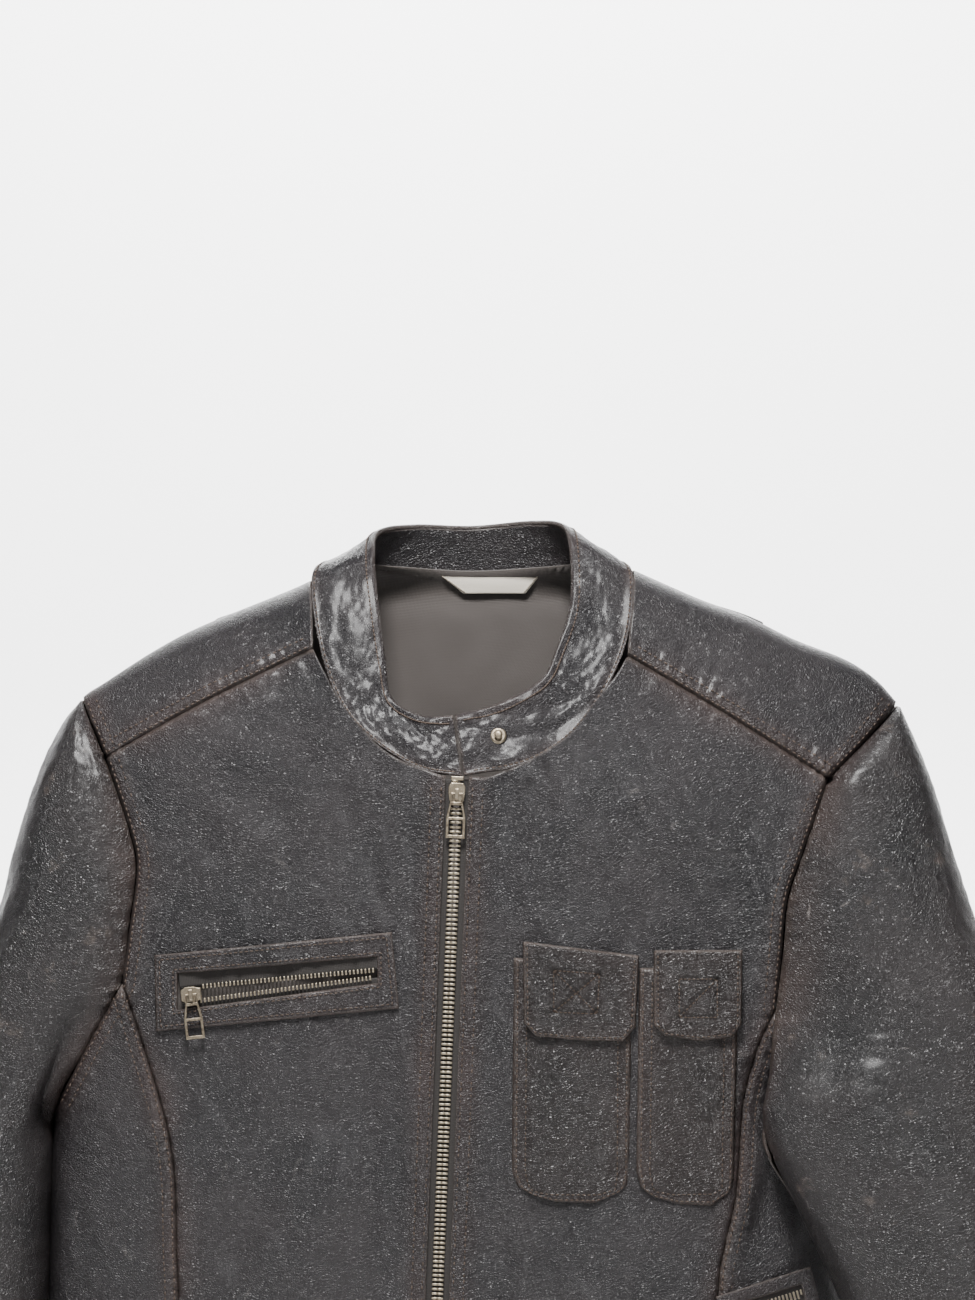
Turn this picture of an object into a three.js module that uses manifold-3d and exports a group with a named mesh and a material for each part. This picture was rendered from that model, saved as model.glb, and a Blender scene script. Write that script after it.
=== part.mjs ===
// Leather riding jacket on its hanging loop, front facing -Y, +Z up, millimetres.
// Origin: top edge of the hanging loop at the middle of the back neck.
import * as THREE from 'three';
import Module from 'manifold-3d';

const wasm = await Module();
wasm.setup();

// ---- overall sizes ----
const shoulderWidth = 454;      // shoulder tip to shoulder tip
const jacketLength = 600;       // back collar edge to hem
const chestDepth = 118;         // front surface to back surface at the chest
const sleeveLength = 612;       // shoulder tip to cuff edge, measured downwards
const collarLean = 10;          // how far the collar's top edge leans inwards
// ---- sheet and gap sizes ----
const leather = 1.2;
const lining = 0.6;
const seamGap = 0.4;            // half the gap between two sewn panels
const layerGap = 0.45;          // clearance between stacked layers
// ---- zip sizes ----
const mainToothRow = 2.4;       // width of one row of main zip teeth
const smallToothRow = 2.0;      // width of one row of pocket zip teeth
const slot = 1.4;               // slot between two facing rows, for the slider's post
const toothHeight = 1.8;
const plate = 1.0;              // slider plate thickness
const post = 0.8;               // slider post width

const kx = shoulderWidth / 454;
const kz = jacketLength / 600;
const frontDepth = chestDepth * 0.525;
const backDepth = chestDepth * 0.475;
const midY = -backDepth + 8;    // plane of the shoulder ridges and side seams
const centreX = -15 * kx;
const squareness = 3.2;         // superellipse power of the torso's section
const frontFall = 140 * kz;     // height over which the front rounds off the shoulder
// the back rounds off in a shorter height behind the neck than on the shoulders
const backFallAt = (x) => {
  const t = Math.min(1, Math.max(0, (Math.abs(x / kx + 10) - 50) / 90));
  return (40 + 50 * t * t * (3 - 2 * t)) * kz;
};

// ---- small helpers ----
const mix = (a, b, t) => a + (b - a) * t;
const clamp = (v, lo, hi) => Math.min(hi, Math.max(lo, v));
const smooth = (a, b, v) => {
  const t = clamp((v - a) / (b - a), 0, 1);
  return t * t * (3 - 2 * t);
};
// A pattern point list in (x, z), scaled to the jacket.
const pattern = (...points) => points.map(([x, z]) => [x * kx, z * kz]);

function tableAt(table, v) {
  const rows = table;
  if (v >= rows[0][0]) return rows[0][1];
  for (let i = 1; i < rows.length; i += 1) {
    if (v >= rows[i][0]) {
      const t = (rows[i - 1][0] - v) / (rows[i - 1][0] - rows[i][0]);
      return mix(rows[i - 1][1], rows[i][1], t);
    }
  }
  return rows[rows.length - 1][1];
}

// ---- torso shape ----
const ridge = pattern([-240, -84], [-227, -69], [-215, -61], [-187, -43], [-160, -29], [-104, -6],
  [-80, 8], [-45, 14], [0, 16], [35, 14], [60, 8], [77, 3], [116, -14], [143, -24], [170, -37],
  [198, -48], [215, -59], [227, -72], [240, -87]);

function ridgeZ(x) {
  const r = ridge;
  if (x <= r[0][0]) return r[0][1];
  for (let i = 1; i < r.length; i += 1) {
    if (x <= r[i][0]) {
      return mix(r[i - 1][1], r[i][1], (x - r[i - 1][0]) / (r[i][0] - r[i - 1][0]));
    }
  }
  return r[r.length - 1][1];
}

const leftHalf = pattern([234, -60], [240, -103], [246, -160], [242, -226], [234, -262],
  [226, -296], [224, -330], [222, -400], [228, -570]).map(([w, z]) => [z, w]);
const rightHalf = pattern([254, -60], [256, -103], [250, -160], [230, -226], [208, -262],
  [190, -296], [190, -330], [212, -400], [226, -570]).map(([w, z]) => [z, w]);
const halfWidth = (side, z) => tableAt(side < 0 ? leftHalf : rightHalf, z);

function bulge(x, z) {
  const side = x < centreX ? -1 : 1;
  const u = clamp(Math.abs(x - centreX) / halfWidth(side, z), 0, 1);
  return (1 - u ** squareness) ** (1 / squareness);
}

function crown(x, z, fall) {
  const v = clamp((ridgeZ(x) - z) / fall, 0, 1);
  return Math.sqrt(1 - (1 - v) ** 2);
}

const frontY = (x, z) => midY - frontDepth * bulge(x, z) * crown(x, z, frontFall);
const backY = (x, z) => midY + backDepth * bulge(x, z) * crown(x, z, backFallAt(x));
const onFront = ([x, z]) => new THREE.Vector3(x, frontY(x, z), z);
const onBack = ([x, z]) => new THREE.Vector3(x, backY(x, z), z);

// Point on the torso's wrap over the shoulder: q is 0 on the ridge, + in front, - behind.
function overRidge([x, q]) {
  const fall = q > 0 ? frontFall : backFallAt(x);
  const a = Math.abs(q);
  const drop = a < Math.PI / 2 ? fall * (1 - Math.cos(a)) : fall * (1 + a - Math.PI / 2);
  const z = ridgeZ(x) - drop;
  return new THREE.Vector3(x, q > 0 ? frontY(x, z) : backY(x, z), z);
}
function wrapQ(x, z, inFront) {
  const fall = inFront ? frontFall : backFallAt(x);
  const h = Math.max(0, ridgeZ(x) - z) / fall;
  const a = h < 1 ? Math.acos(1 - h) : h - 1 + Math.PI / 2;
  return inFront ? a : -a;
}

// Point on the torso's wrap round the side: a is 0 at the front centre, PI at the back centre.
function roundSide(side, [a, z]) {
  const power = 2 / squareness;
  const x = centreX + side * halfWidth(side, z) * Math.abs(Math.sin(a)) ** power;
  const c = Math.abs(Math.cos(a)) ** power;
  const y = a < Math.PI / 2
    ? midY - frontDepth * c * crown(x, z, frontFall)
    : midY + backDepth * c * crown(x, z, backFallAt(x));
  return new THREE.Vector3(x, y, z);
}
function sideAngle(x, z, inFront) {
  const side = x < centreX ? -1 : 1;
  const u = clamp(Math.abs(x - centreX) / halfWidth(side, z), 0, 1);
  const a = Math.asin(u ** (squareness / 2));
  return inFront ? a : Math.PI - a;
}

// ---- sheets ----
function polyline(points) {
  const run = [0];
  for (let i = 1; i < points.length; i += 1) {
    const d = Math.hypot(points[i][0] - points[i - 1][0], points[i][1] - points[i - 1][1]);
    run.push(run[i - 1] + d);
  }
  const total = run[run.length - 1];
  const at = (t) => {
    const d = clamp(t, 0, 1) * total;
    let i = 1;
    while (i < points.length - 1 && run[i] < d) i += 1;
    const f = (d - run[i - 1]) / (run[i] - run[i - 1]);
    return [mix(points[i - 1][0], points[i][0], f), mix(points[i - 1][1], points[i][1], f)];
  };
  return { at, stops: run.map((r) => r / total), total };
}

// Grid lines at every corner of both edges, with long steps divided.
function gridLines(edges, steps) {
  const stops = edges.flatMap((e) => e.stops).sort((a, b) => a - b);
  const lines = [];
  stops.forEach((s) => {
    if (!lines.length || s - lines[lines.length - 1] > 0.012) lines.push(s);
  });
  lines[lines.length - 1] = 1;
  const out = [0];
  for (let i = 1; i < lines.length; i += 1) {
    const n = Math.max(1, Math.round((lines[i] - lines[i - 1]) * steps));
    for (let k = 1; k <= n; k += 1) out.push(mix(lines[i - 1], lines[i], k / n));
  }
  return out;
}

function coons(top, bottom, left, right) {
  return (s, t) => {
    const p = [0, 1].map((k) => {
      const a = mix(top.at(s)[k], bottom.at(s)[k], t) + mix(left.at(t)[k], right.at(t)[k], s);
      const c0 = mix(top.at(0)[k], top.at(1)[k], s);
      const c1 = mix(bottom.at(0)[k], bottom.at(1)[k], s);
      return a - mix(c0, c1, t);
    });
    return p;
  };
}

// A closed thin sheet: `outer` gives the outside point, the inside lies `thick` behind it.
function sheetGeometry(ss, ts, outer, thick) {
  const rows = ts.length;
  const cols = ss.length;
  const grid = ts.map((t) => ss.map((s) => outer(s, t)));
  const normals = grid.map((row, j) => row.map((p, i) => {
    const a = grid[j][Math.min(cols - 1, i + 1)].clone().sub(grid[j][Math.max(0, i - 1)]);
    const b = grid[Math.min(rows - 1, j + 1)][i].clone().sub(grid[Math.max(0, j - 1)][i]);
    return a.cross(b).normalize();
  }));
  const points = [];
  grid.forEach((row) => row.forEach((p) => points.push(p)));
  grid.forEach((row, j) => row.forEach((p, i) => {
    points.push(p.clone().addScaledVector(normals[j][i], -thick));
  }));
  const n = rows * cols;
  const id = (i, j, k) => k * n + j * cols + i;
  const quads = [];
  for (let j = 0; j < rows - 1; j += 1) {
    for (let i = 0; i < cols - 1; i += 1) {
      quads.push([id(i, j, 0), id(i + 1, j, 0), id(i + 1, j + 1, 0), id(i, j + 1, 0)]);
      quads.push([id(i, j + 1, 1), id(i + 1, j + 1, 1), id(i + 1, j, 1), id(i, j, 1)]);
    }
  }
  for (let i = 0; i < cols - 1; i += 1) {
    quads.push([id(i, 0, 1), id(i + 1, 0, 1), id(i + 1, 0, 0), id(i, 0, 0)]);
    quads.push([id(i, rows - 1, 0), id(i + 1, rows - 1, 0), id(i + 1, rows - 1, 1),
      id(i, rows - 1, 1)]);
  }
  for (let j = 0; j < rows - 1; j += 1) {
    quads.push([id(0, j, 0), id(0, j + 1, 0), id(0, j + 1, 1), id(0, j, 1)]);
    quads.push([id(cols - 1, j, 1), id(cols - 1, j + 1, 1), id(cols - 1, j + 1, 0),
      id(cols - 1, j, 0)]);
  }
  return solidFrom(points, quads);
}

function solidFrom(points, quads) {
  let volume = 0;
  const tris = quads.flatMap(([a, b, c, d]) => [[a, b, c], [a, c, d]]);
  tris.forEach(([a, b, c]) => {
    volume += points[a].dot(points[b].clone().cross(points[c]));
  });
  const index = tris.flatMap((t) => (volume < 0 ? [t[0], t[2], t[1]] : t));
  const g = new THREE.BufferGeometry();
  g.setAttribute('position', new THREE.Float32BufferAttribute(
    points.flatMap((p) => [p.x, p.y, p.z]), 3));
  g.setIndex(index);
  g.computeVertexNormals();
  return g;
}

// ---- cutting ----
function toManifold(g) {
  const p = g.getAttribute('position');
  return new wasm.Manifold(new wasm.Mesh({
    numProp: 3,
    vertProperties: Float32Array.from(p.array),
    triVerts: Uint32Array.from(g.index.array),
  }));
}
// The geometry less a straight-sided tool, given by the tool's own geometry.
function cutAway(g, tools) {
  let body = toManifold(g);
  tools.forEach((t) => { body = body.subtract(toManifold(t)); });
  const mesh = body.getMesh();
  const out = new THREE.BufferGeometry();
  out.setAttribute('position', new THREE.Float32BufferAttribute(mesh.vertProperties, 3));
  out.setIndex(Array.from(mesh.triVerts));
  out.computeVertexNormals();
  return out;
}

// ---- materials ----
const paint = (color, rough, metal = 0) => new THREE.MeshStandardMaterial(
  { color, roughness: rough, metalness: metal });
const black = () => paint(0x3a3534, 0.45);
const cloth = () => paint(0x46403c, 0.8);
const tapeCloth = () => paint(0x2b2622, 0.85);
const brass = () => paint(0x8a744c, 0.4, 1);
const cream = () => paint(0xd8cdb8, 0.9);

const jacket = new THREE.Group();
jacket.name = 'riding_jacket';
function add(name, geometry, material) {
  const mesh = new THREE.Mesh(geometry, material);
  mesh.name = name;
  jacket.add(mesh);
}

// A panel bounded by four (x, z) curves, laid on one face of the torso.
// `lift` moves it off the surface, outwards when positive.
function panel(name, edges, place, material, opt = {}) {
  const { thick = leather, lift = 0, steps = [7, 12], edgeGap = seamGap, flip = false,
    windows = [] } = opt;
  const [top, bottom, left, right] = edges.map(polyline);
  const at = coons(top, bottom, left, right);
  const gs = edgeGap / Math.max(top.total, bottom.total) * 1.25;
  const gt = edgeGap / Math.max(left.total, right.total) * 1.25;
  const ss = gridLines([top, bottom], steps[0]);
  const ts = gridLines([left, right], steps[1]);
  const e = 0.004;
  const point = (s, t) => place(at(mix(gs, 1 - gs, s), mix(gt, 1 - gt, t)));
  const lifted = (s, t) => {
    const p = point(s, t);
    const rise = typeof lift === 'function' ? lift(t) : lift;
    if (!rise) return p;
    const a = point(Math.min(1, s + e), t).sub(point(Math.max(0, s - e), t));
    const b = point(s, Math.min(1, t + e)).sub(point(s, Math.max(0, t - e)));
    const n = a.cross(b).normalize();
    if (flip) n.negate();
    return p.addScaledVector(n, rise);
  };
  const solid = sheetGeometry(ss, ts, lifted, flip ? -thick : thick);
  const tools = windows.map((w) => frontPrism(pattern(...w), midY - frontDepth - 20, midY - 2));
  add(name, tools.length ? cutAway(solid, tools) : solid, material);
}

// A prism through the front of the torso over an (x, z) outline.
function frontPrism(outline, y0, y1) {
  const n = outline.length;
  const points = [y0, y1].flatMap((y) => outline.map(([x, z]) => new THREE.Vector3(x, y, z)));
  const quads = outline.map((_, i) => [i, (i + 1) % n, n + ((i + 1) % n), n + i]);
  quads.push([3, 2, 1, 0], [n, n + 1, n + 2, n + 3]);
  return solidFrom(points, quads);
}

// The same line with its long stretches divided, so neighbours share their corners.
function divided(points, step = 18) {
  const out = [points[0]];
  for (let i = 1; i < points.length; i += 1) {
    const [a, b] = [points[i - 1], points[i]];
    const n = Math.max(1, Math.ceil(Math.hypot(b[0] - a[0], b[1] - a[1]) / step));
    for (let k = 1; k <= n; k += 1) out.push([mix(a[0], b[0], k / n), mix(a[1], b[1], k / n)]);
  }
  return out;
}

// ---- seams, in (x, z) ----
const yokeCornerR = [-98, -42];
const yokeCornerL = [76, -46];
const neckR = [[-98, -42], [-91, -56], [-84, -69], [-67, -90], [-52, -102], [-29, -111]];
const neckL = [[1, -112], [24, -102], [45, -88], [58, -71], [70, -56], [76, -46]];
const armR = divided([[-213, -102], [-199, -142], [-195, -164], [-199, -197], [-203, -227]]);
const armL = divided([[187, -114], [173, -153], [164, -180], [161, -208], [158, -240]]);
const princessR = divided([[-203, -227], [-191, -263], [-179, -303], [-174, -334],
  [-173, -374], [-172, -400], [-174, -570]], 24);
const princessL = divided([[158, -240], [148, -262], [140, -293], [136, -342], [130, -370],
  [126, -395], [124, -570]], 24);
const pitR = [[-203, -227], [-214, -246], [-224, -264], [-233, -281], [-241, -296]];
const pitL = [[158, -240], [163, -256], [168, -272], [172.5, -288], [175, -298]];
const zipTop = [-18, -114];
const zipSlope = 11 / 284;
const zipX = (z) => zipTop[0] - zipSlope * (zipTop[1] - z);
const tapeHalf = 6.5;           // half the width of zip tape left showing
const chestWindow = [[-176, -244], [-60, -230], [-60, -208], [-176, -222]];

// ---- shell panels ----
function frontPanels() {
  const hem = -570;
  const innerR = zipX(hem) - tapeHalf;
  const innerL = zipX(hem) + tapeHalf;
  panel('front_panel_right', [
    pattern([-213, -102], yokeCornerR, ...neckR.slice(1), [zipTop[0] - tapeHalf, -112]),
    pattern([-174, hem], [innerR, hem]),
    pattern(...armR, ...princessR.slice(1)),
    pattern([zipTop[0] - tapeHalf, -112], [innerR, hem]),
  ], onFront, black(), { flip: true, windows: [chestWindow] });
  panel('front_panel_left', [
    pattern([zipTop[0] + tapeHalf, -112.5], ...neckL, [187, -114]),
    pattern([innerL, hem], [124, hem]),
    pattern([zipTop[0] + tapeHalf, -112.5], [innerL, hem]),
    pattern(...armL, ...princessL.slice(1)),
  ], onFront, black(), { flip: true });
}

function sidePanel(name, side, princess, pit) {
  const a = (x, z, f) => [sideAngle(x * kx, z * kz, f), z * kz];
  const front = princess.map(([x, z]) => a(x, z, true));
  const back = princess.map(([x, z]) => a(x, z, false));
  const rim = pit.slice(0, -1);
  const lowest = [Math.PI / 2, pit[pit.length - 1][1] * kz];
  const top = [...rim.map(([x, z]) => a(x, z, true)), lowest,
    ...rim.reverse().map(([x, z]) => a(x, z, false))];
  const bottom = [front[front.length - 1], back[back.length - 1]];
  const place = (p) => roundSide(side, p);
  // angles are small numbers, so the edge gap is taken in angle here
  const arcs = [top, bottom, front, back].map((e) => e.map(([u, z]) => [u * 90, z]));
  panel(name, arcs, ([u, z]) => place([u / 90, z]), black(),
    { steps: [8, 12], edgeGap: 0.6 / kx, flip: side > 0 });
}

function backPanels() {
  const mid = -10;
  const hem = -570;
  panel('back_panel_right', [
    pattern(...divided([[-213, -102.6], [mid, -97.2]], 30)), pattern([-174, hem], [mid, hem]),
    pattern(...armR, ...princessR.slice(1)), pattern([mid, -97.2], [mid, hem]),
  ], onBack, black(), { steps: [6, 10] });
  panel('back_panel_left', [
    pattern(...divided([[mid, -97.2], [187, -114]], 30)), pattern([mid, hem], [124, hem]),
    pattern([mid, -97.2], [mid, hem]), pattern(...armL, ...princessL.slice(1)),
  ], onBack, black(), { steps: [6, 10] });
}

function yoke(name, side, corner, armEnd, tip, neckSide) {
  const q = ([x, z], f) => [x * kx, wrapQ(x * kx, z * kz, f) * 100];
  const neck = [q(corner, true), q([neckSide[0] - side * 2, -18], true),
    [neckSide[0] * kx, 0], q([neckSide[0] - side * 5, -10], false),
    ...neckSide.slice(1).map((p) => q(p, false)), q([-10, -9], false)];
  const nearTip = [mix(armEnd[0], tip, 0.6), mix(armEnd[1], -70, 0.6)];
  const arm = [q(armEnd, true), q(nearTip, true), [tip * kx, 0], q(nearTip, false),
    q(armEnd, false)];
  const front = divided([corner, armEnd]).map((p) => q(p, true));
  const back = divided([[-10, -96], armEnd], 14).map((p) => q(p, false));
  const edges = side < 0
    ? [[...front].reverse(), [...back].reverse(), arm, [...neck, back[0]]]
    : [front, back, [...neck, back[0]], arm];
  panel(name, edges, ([x, w]) => overRidge([x, w / 100]), black(),
    { steps: [6, 14], flip: true, edgeGap: 0.8 });
}

// ---- sleeves ----
// Each row: front armhole point, back armhole point, outer edge point, all (x, z).
const rowsR = [
  [[-227, -71], [-227, -71], [-229, -72]],
  [[-221, -84], [-221, -84], [-237, -82]],
  [[-213.5, -102], [-213.5, -102], [-247, -103]],
  [[-206, -122], [-206, -122], [-257, -131]],
  [[-199.5, -142], [-199.5, -142], [-265, -158]],
  [[-195.5, -164], [-195.5, -164], [-270, -180]],
  [[-199.5, -197], [-199.5, -197], [-282, -214]],
  [[-204, -227], [-204, -227], [-292, -248]],
  [[-226, -264], [-226, -264], [-303, -283]],
  [[-246, -298], [-246, -298], [-312, -318]],
  [[-246, -350], [-246, -350], [-326, -360]],
  [[-246, -410], [-246, -410], [-338, -415]],
  [[-249, -480], [-249, -480], [-350, -480]],
  [[-254, -560], [-254, -560], [-360, -560]],
  [[-266, -640], [-266, -640], [-366, -640]],
];
const rowsL = [
  [[227, -74], [227, -74], [229, -75]],
  [[209, -92], [209, -92], [236, -91]],
  [[187.5, -114], [187.5, -114], [243, -110]],
  [[180, -133], [180, -133], [250, -131]],
  [[173.5, -153], [173.5, -153], [258, -158]],
  [[164.5, -180], [164.5, -180], [267, -189]],
  [[161.5, -208], [161.5, -208], [277, -220]],
  [[157, -242], [162, -242], [287, -252]],
  [[153, -272], [190, -272], [294, -282]],
  [[150, -307], [150, -307], [301, -307]],
  [[169, -350], [169, -350], [311, -350]],
  [[194, -405], [194, -405], [324, -400]],
  [[220, -480], [220, -480], [337, -470]],
  [[243, -560], [243, -560], [350, -550]],
  [[264, -640], [264, -640], [358, -632]],
];

function sleeveSection(side, rows, k) {
  const last = rows.length - 1;
  const i = clamp(Math.floor(k), 0, last - 1);
  const f = k - i;
  const reach = sleeveLength / 612;
  const pick = (n) => {
    const x = mix(rows[i][n][0], rows[i + 1][n][0], f) * kx;
    const z = mix(rows[i][n][1], rows[i + 1][n][1], f) * kz;
    const pit = -310 * kz;
    return [x, z < pit ? pit + (z - pit) * reach : z];
  };
  const [front, back, outer] = [pick(0), pick(1), pick(2)];
  const z = front[1];
  const w = smooth(-215 * kz, -302 * kz, z);
  const depth = (chestDepth / 118) * (side < 0
    ? tableAt([[-200, 50], [-320, 54], [-450, 50], [-640, 36]], z)
    : tableAt([[-200, 40], [-307, 33], [-400, 38], [-480, 44], [-640, 36]], z));
  const forward = side < 0 ? -4 * w
    : -mix(62, 14, smooth(-430 * kz, -640 * kz, z)) * (chestDepth / 118);
  const lead = smooth(-130 * kz, -310 * kz, outer[1]);
  return { front, back, outer, w, depth, forward, lead };
}

// g runs 0..1 over the front from armhole to outer edge, 1..2 over the back.
function sleevePoint(side, rows, k, g) {
  const c = sleeveSection(side, rows, k);
  const inFront = g <= 1;
  const h = inFront ? g : 2 - g;
  const inner = inFront ? c.front : c.back;
  const sign = inFront ? -1 : 1;
  const psi = h * Math.PI / 2;
  const sCap = Math.sin(psi) ** 0.85;
  const surface = inFront ? frontY(...inner) : backY(...inner);
  const dCap = Math.abs(surface - midY) * Math.cos(psi) ** 0.7 + 7 * Math.sin(psi * 2);
  const alpha = h * Math.PI;
  const sTube = (1 - Math.cos(alpha)) / 2;
  const dTube = c.depth * Math.max(0, Math.sin(alpha)) ** 0.85 + 0.5;
  const s = mix(sCap, sTube, c.w);
  const shift = c.forward * mix(c.w, Math.max(c.w, c.lead), s);
  const y = midY + shift + sign * mix(dCap + 0.2, dTube, c.w);
  return new THREE.Vector3(mix(inner[0], c.outer[0], s), y, mix(inner[1], c.outer[1], s));
}

function sleeve(side, label, rows) {
  const last = rows.length - 1;
  const cuffStart = last - 0.5;
  const span = (a, b, n) => Array.from({ length: n + 1 }, (_, i) => mix(a, b, i / n));
  const gs = span(0, 2, 20);
  const point = (g, k) => sleevePoint(side, rows, k, g);
  const inward = (g, k, lift) => {
    const e = 0.03;
    const p = point(g, k);
    const a = point(Math.min(2, g + e), k).sub(point(Math.max(0, g - e), k));
    const b = point(g, Math.min(last, k + e)).sub(point(g, Math.max(0, k - e)));
    return p.addScaledVector(a.cross(b).normalize(), lift * side);
  };
  const ks = span(0, cuffStart - 0.01, 18);
  add(`sleeve_${label}`, sheetGeometry(gs, ks, (g, k) => inward(g, k, 0), leather * side),
    black());
  add(`cuff_${label}`, sheetGeometry(gs, span(cuffStart, last, 2),
    (g, k) => inward(g, k, 0), leather * side), black());
  const tucked = (g, k) => {
    const p = point(g, k);
    const c = sleeveSection(side, rows, k);
    const h = new THREE.Vector3((c.front[0] + c.outer[0]) / 2, midY + c.forward * c.w, p.z);
    return p.lerp(h, mix(6, 1.45, smooth(last - 1.2, last - 0.1, k)) / p.distanceTo(h));
  };
  add(`sleeve_lining_${label}`, sheetGeometry(span(0.14, 1.86, 16), span(8.6, last - 0.1, 8),
    tucked, lining * -side), cloth());
}

// ---- collar ----
// Pairs of (seam, top edge) points, each (x, y beyond the mid plane, z), from the wearer's
// right end round the back to the wearer's left end.
const collarRing = [
  [[-15.6, -61, -111.5], [-20.4, -50, -80]],
  [[-40, -58, -107], [-38, -48, -80]],
  [[-67, -49, -90], [-55, -40, -70]],
  [[-84, -38, -69], [-59, -31, -49]],
  [[-95, -24, -36], [-63, -20, -20]],
  [[-98.5, -4, -1], [-66, -3, 9]],
  [[-86, 26, 7], [-64, 22, 24]],
  [[-55, 46.7, 2], [-44, 42, 27]],
  [[-10, 53.5, -3], [-10, 49, 26]],
  [[35, 47.5, 2], [24, 43, 29]],
  [[67, 26, 6], [41.5, 24, 28]],
  [[78.5, -4, 1], [45.5, 2, 18]],
  [[77, -24, -30], [46, -20, -16]],
  [[66, -38, -60], [38, -33, -42]],
  [[46, -49, -88], [29, -42, -60]],
  [[20, -58, -104.5], [6, -49, -73]],
  [[-14.4, -61, -111.5], [-19.2, -50, -80]],
];

function collarPoint(a, t, inset) {
  const n = collarRing.length - 1;
  const i = clamp(Math.floor(a * n), 0, n - 1);
  const f = a * n - i;
  const dy = chestDepth / 118;
  const p = [0, 1, 2].map((k) => {
    const seam = mix(collarRing[i][0][k], collarRing[i + 1][0][k], f);
    const top = mix(collarRing[i][1][k], collarRing[i + 1][1][k], f);
    return mix(seam, top, t);
  });
  const centre = [-10, 0];
  const lean = (collarLean - 10) * t;
  const r = Math.hypot(p[0] - centre[0], p[1] - centre[1]);
  const shrink = (r - inset - lean) / r;
  const x = centre[0] + (p[0] - centre[0]) * shrink;
  const y = centre[1] + (p[1] - centre[1]) * shrink;
  return new THREE.Vector3(x * kx, midY + y * dy, p[2] * kz);
}

// Unit vector into the neck, square to the collar.
function collarInwards(a, t) {
  const e = 0.01;
  const u = collarPoint(Math.min(1, a + e), t, 0).sub(collarPoint(Math.max(0, a - e), t, 0));
  const v = collarPoint(a, Math.min(1, t + e), 0).sub(collarPoint(a, t - e, 0));
  return u.cross(v).normalize();
}

function collar() {
  const n = (collarRing.length - 1) * 2;
  const as = Array.from({ length: n + 1 }, (_, i) => i / n);
  add('collar_outer', sheetGeometry(as, [-0.02, 0.34, 0.67, 1],
    (a, t) => collarPoint(a, t, 0), leather), black());
  add('collar_facing', sheetGeometry(as, [0.03, 0.34, 0.67, 1], (a, t) => collarPoint(a, t, 0)
    .addScaledVector(collarInwards(a, t), leather + 0.9 * kz * kz), leather), black());
}

// ---- zips ----
// A closed solid from the filled cells of a small lattice in a local frame.
function cellSolid(frame, as, bs, cs, filled) {
  const n = [as.length - 1, bs.length - 1, cs.length - 1];
  const mid = (list, i) => (list[i] + list[i + 1]) / 2;
  const inside = (i, j, k) => i >= 0 && j >= 0 && k >= 0 && i < n[0] && j < n[1] && k < n[2]
    && filled(mid(as, i), mid(bs, j), mid(cs, k));
  const ids = new Map();
  const points = [];
  const vertex = (i, j, k) => {
    const key = `${i},${j},${k}`;
    if (!ids.has(key)) {
      ids.set(key, points.length);
      points.push(frame.point.clone().addScaledVector(frame.t, as[i])
        .addScaledVector(frame.b, bs[j]).addScaledVector(frame.n, cs[k]));
    }
    return ids.get(key);
  };
  const quads = [];
  for (let i = 0; i < n[0]; i += 1) {
    for (let j = 0; j < n[1]; j += 1) {
      for (let k = 0; k < n[2]; k += 1) {
        if (!inside(i, j, k)) continue;
        const v = (a, b, c) => vertex(i + a, j + b, k + c);
        if (!inside(i + 1, j, k)) quads.push([v(1, 0, 0), v(1, 1, 0), v(1, 1, 1), v(1, 0, 1)]);
        if (!inside(i - 1, j, k)) quads.push([v(0, 0, 0), v(0, 0, 1), v(0, 1, 1), v(0, 1, 0)]);
        if (!inside(i, j + 1, k)) quads.push([v(0, 1, 0), v(0, 1, 1), v(1, 1, 1), v(1, 1, 0)]);
        if (!inside(i, j - 1, k)) quads.push([v(0, 0, 0), v(1, 0, 0), v(1, 0, 1), v(0, 0, 1)]);
        if (!inside(i, j, k + 1)) quads.push([v(0, 0, 1), v(1, 0, 1), v(1, 1, 1), v(0, 1, 1)]);
        if (!inside(i, j, k - 1)) quads.push([v(0, 0, 0), v(0, 1, 0), v(1, 1, 0), v(1, 0, 0)]);
      }
    }
  }
  return solidFrom(points, quads);
}

const bailGap = 1.9;            // clear height under a slider's bail
const pullThick = 1.2;
const within = (v, a, b) => v > a && v < b;

// Two plates joined by a thin post between the teeth, with a bail on top for the pull.
function addSlider(name, frame, size, stem, toothOut) {
  const [ht, hb] = size.map((v) => v / 2);
  const [pt, pb] = stem.map((v) => v / 2);
  const low = toothOut - toothHeight / 2 - 0.4;
  const high = toothOut + toothHeight / 2 + 0.4;
  const order = (list) => [...new Set(list)].sort((a, b) => a - b);
  const as = order([-ht, -3.2, -pt, pt, 2.2, 3.2, ht]);
  const bs = order([-hb, -1.1, -pb, pb, 1.1, hb]);
  const cs = [low - plate, low, high, high + plate, high + plate + bailGap,
    high + plate + bailGap + 0.9];
  add(name, cellSolid(frame, as, bs, cs, (a, b, c) => {
    if (c < low || within(c, high, high + plate)) return true;
    if (c < high) return Math.abs(a) < pt && Math.abs(b) < pb;
    if (c < cs[4]) return within(a, 2.2, 3.2) && Math.abs(b) < 1.1;
    return within(a, -3.2, 3.2) && Math.abs(b) < 1.1;
  }), brass());
  return high + plate;
}

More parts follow.
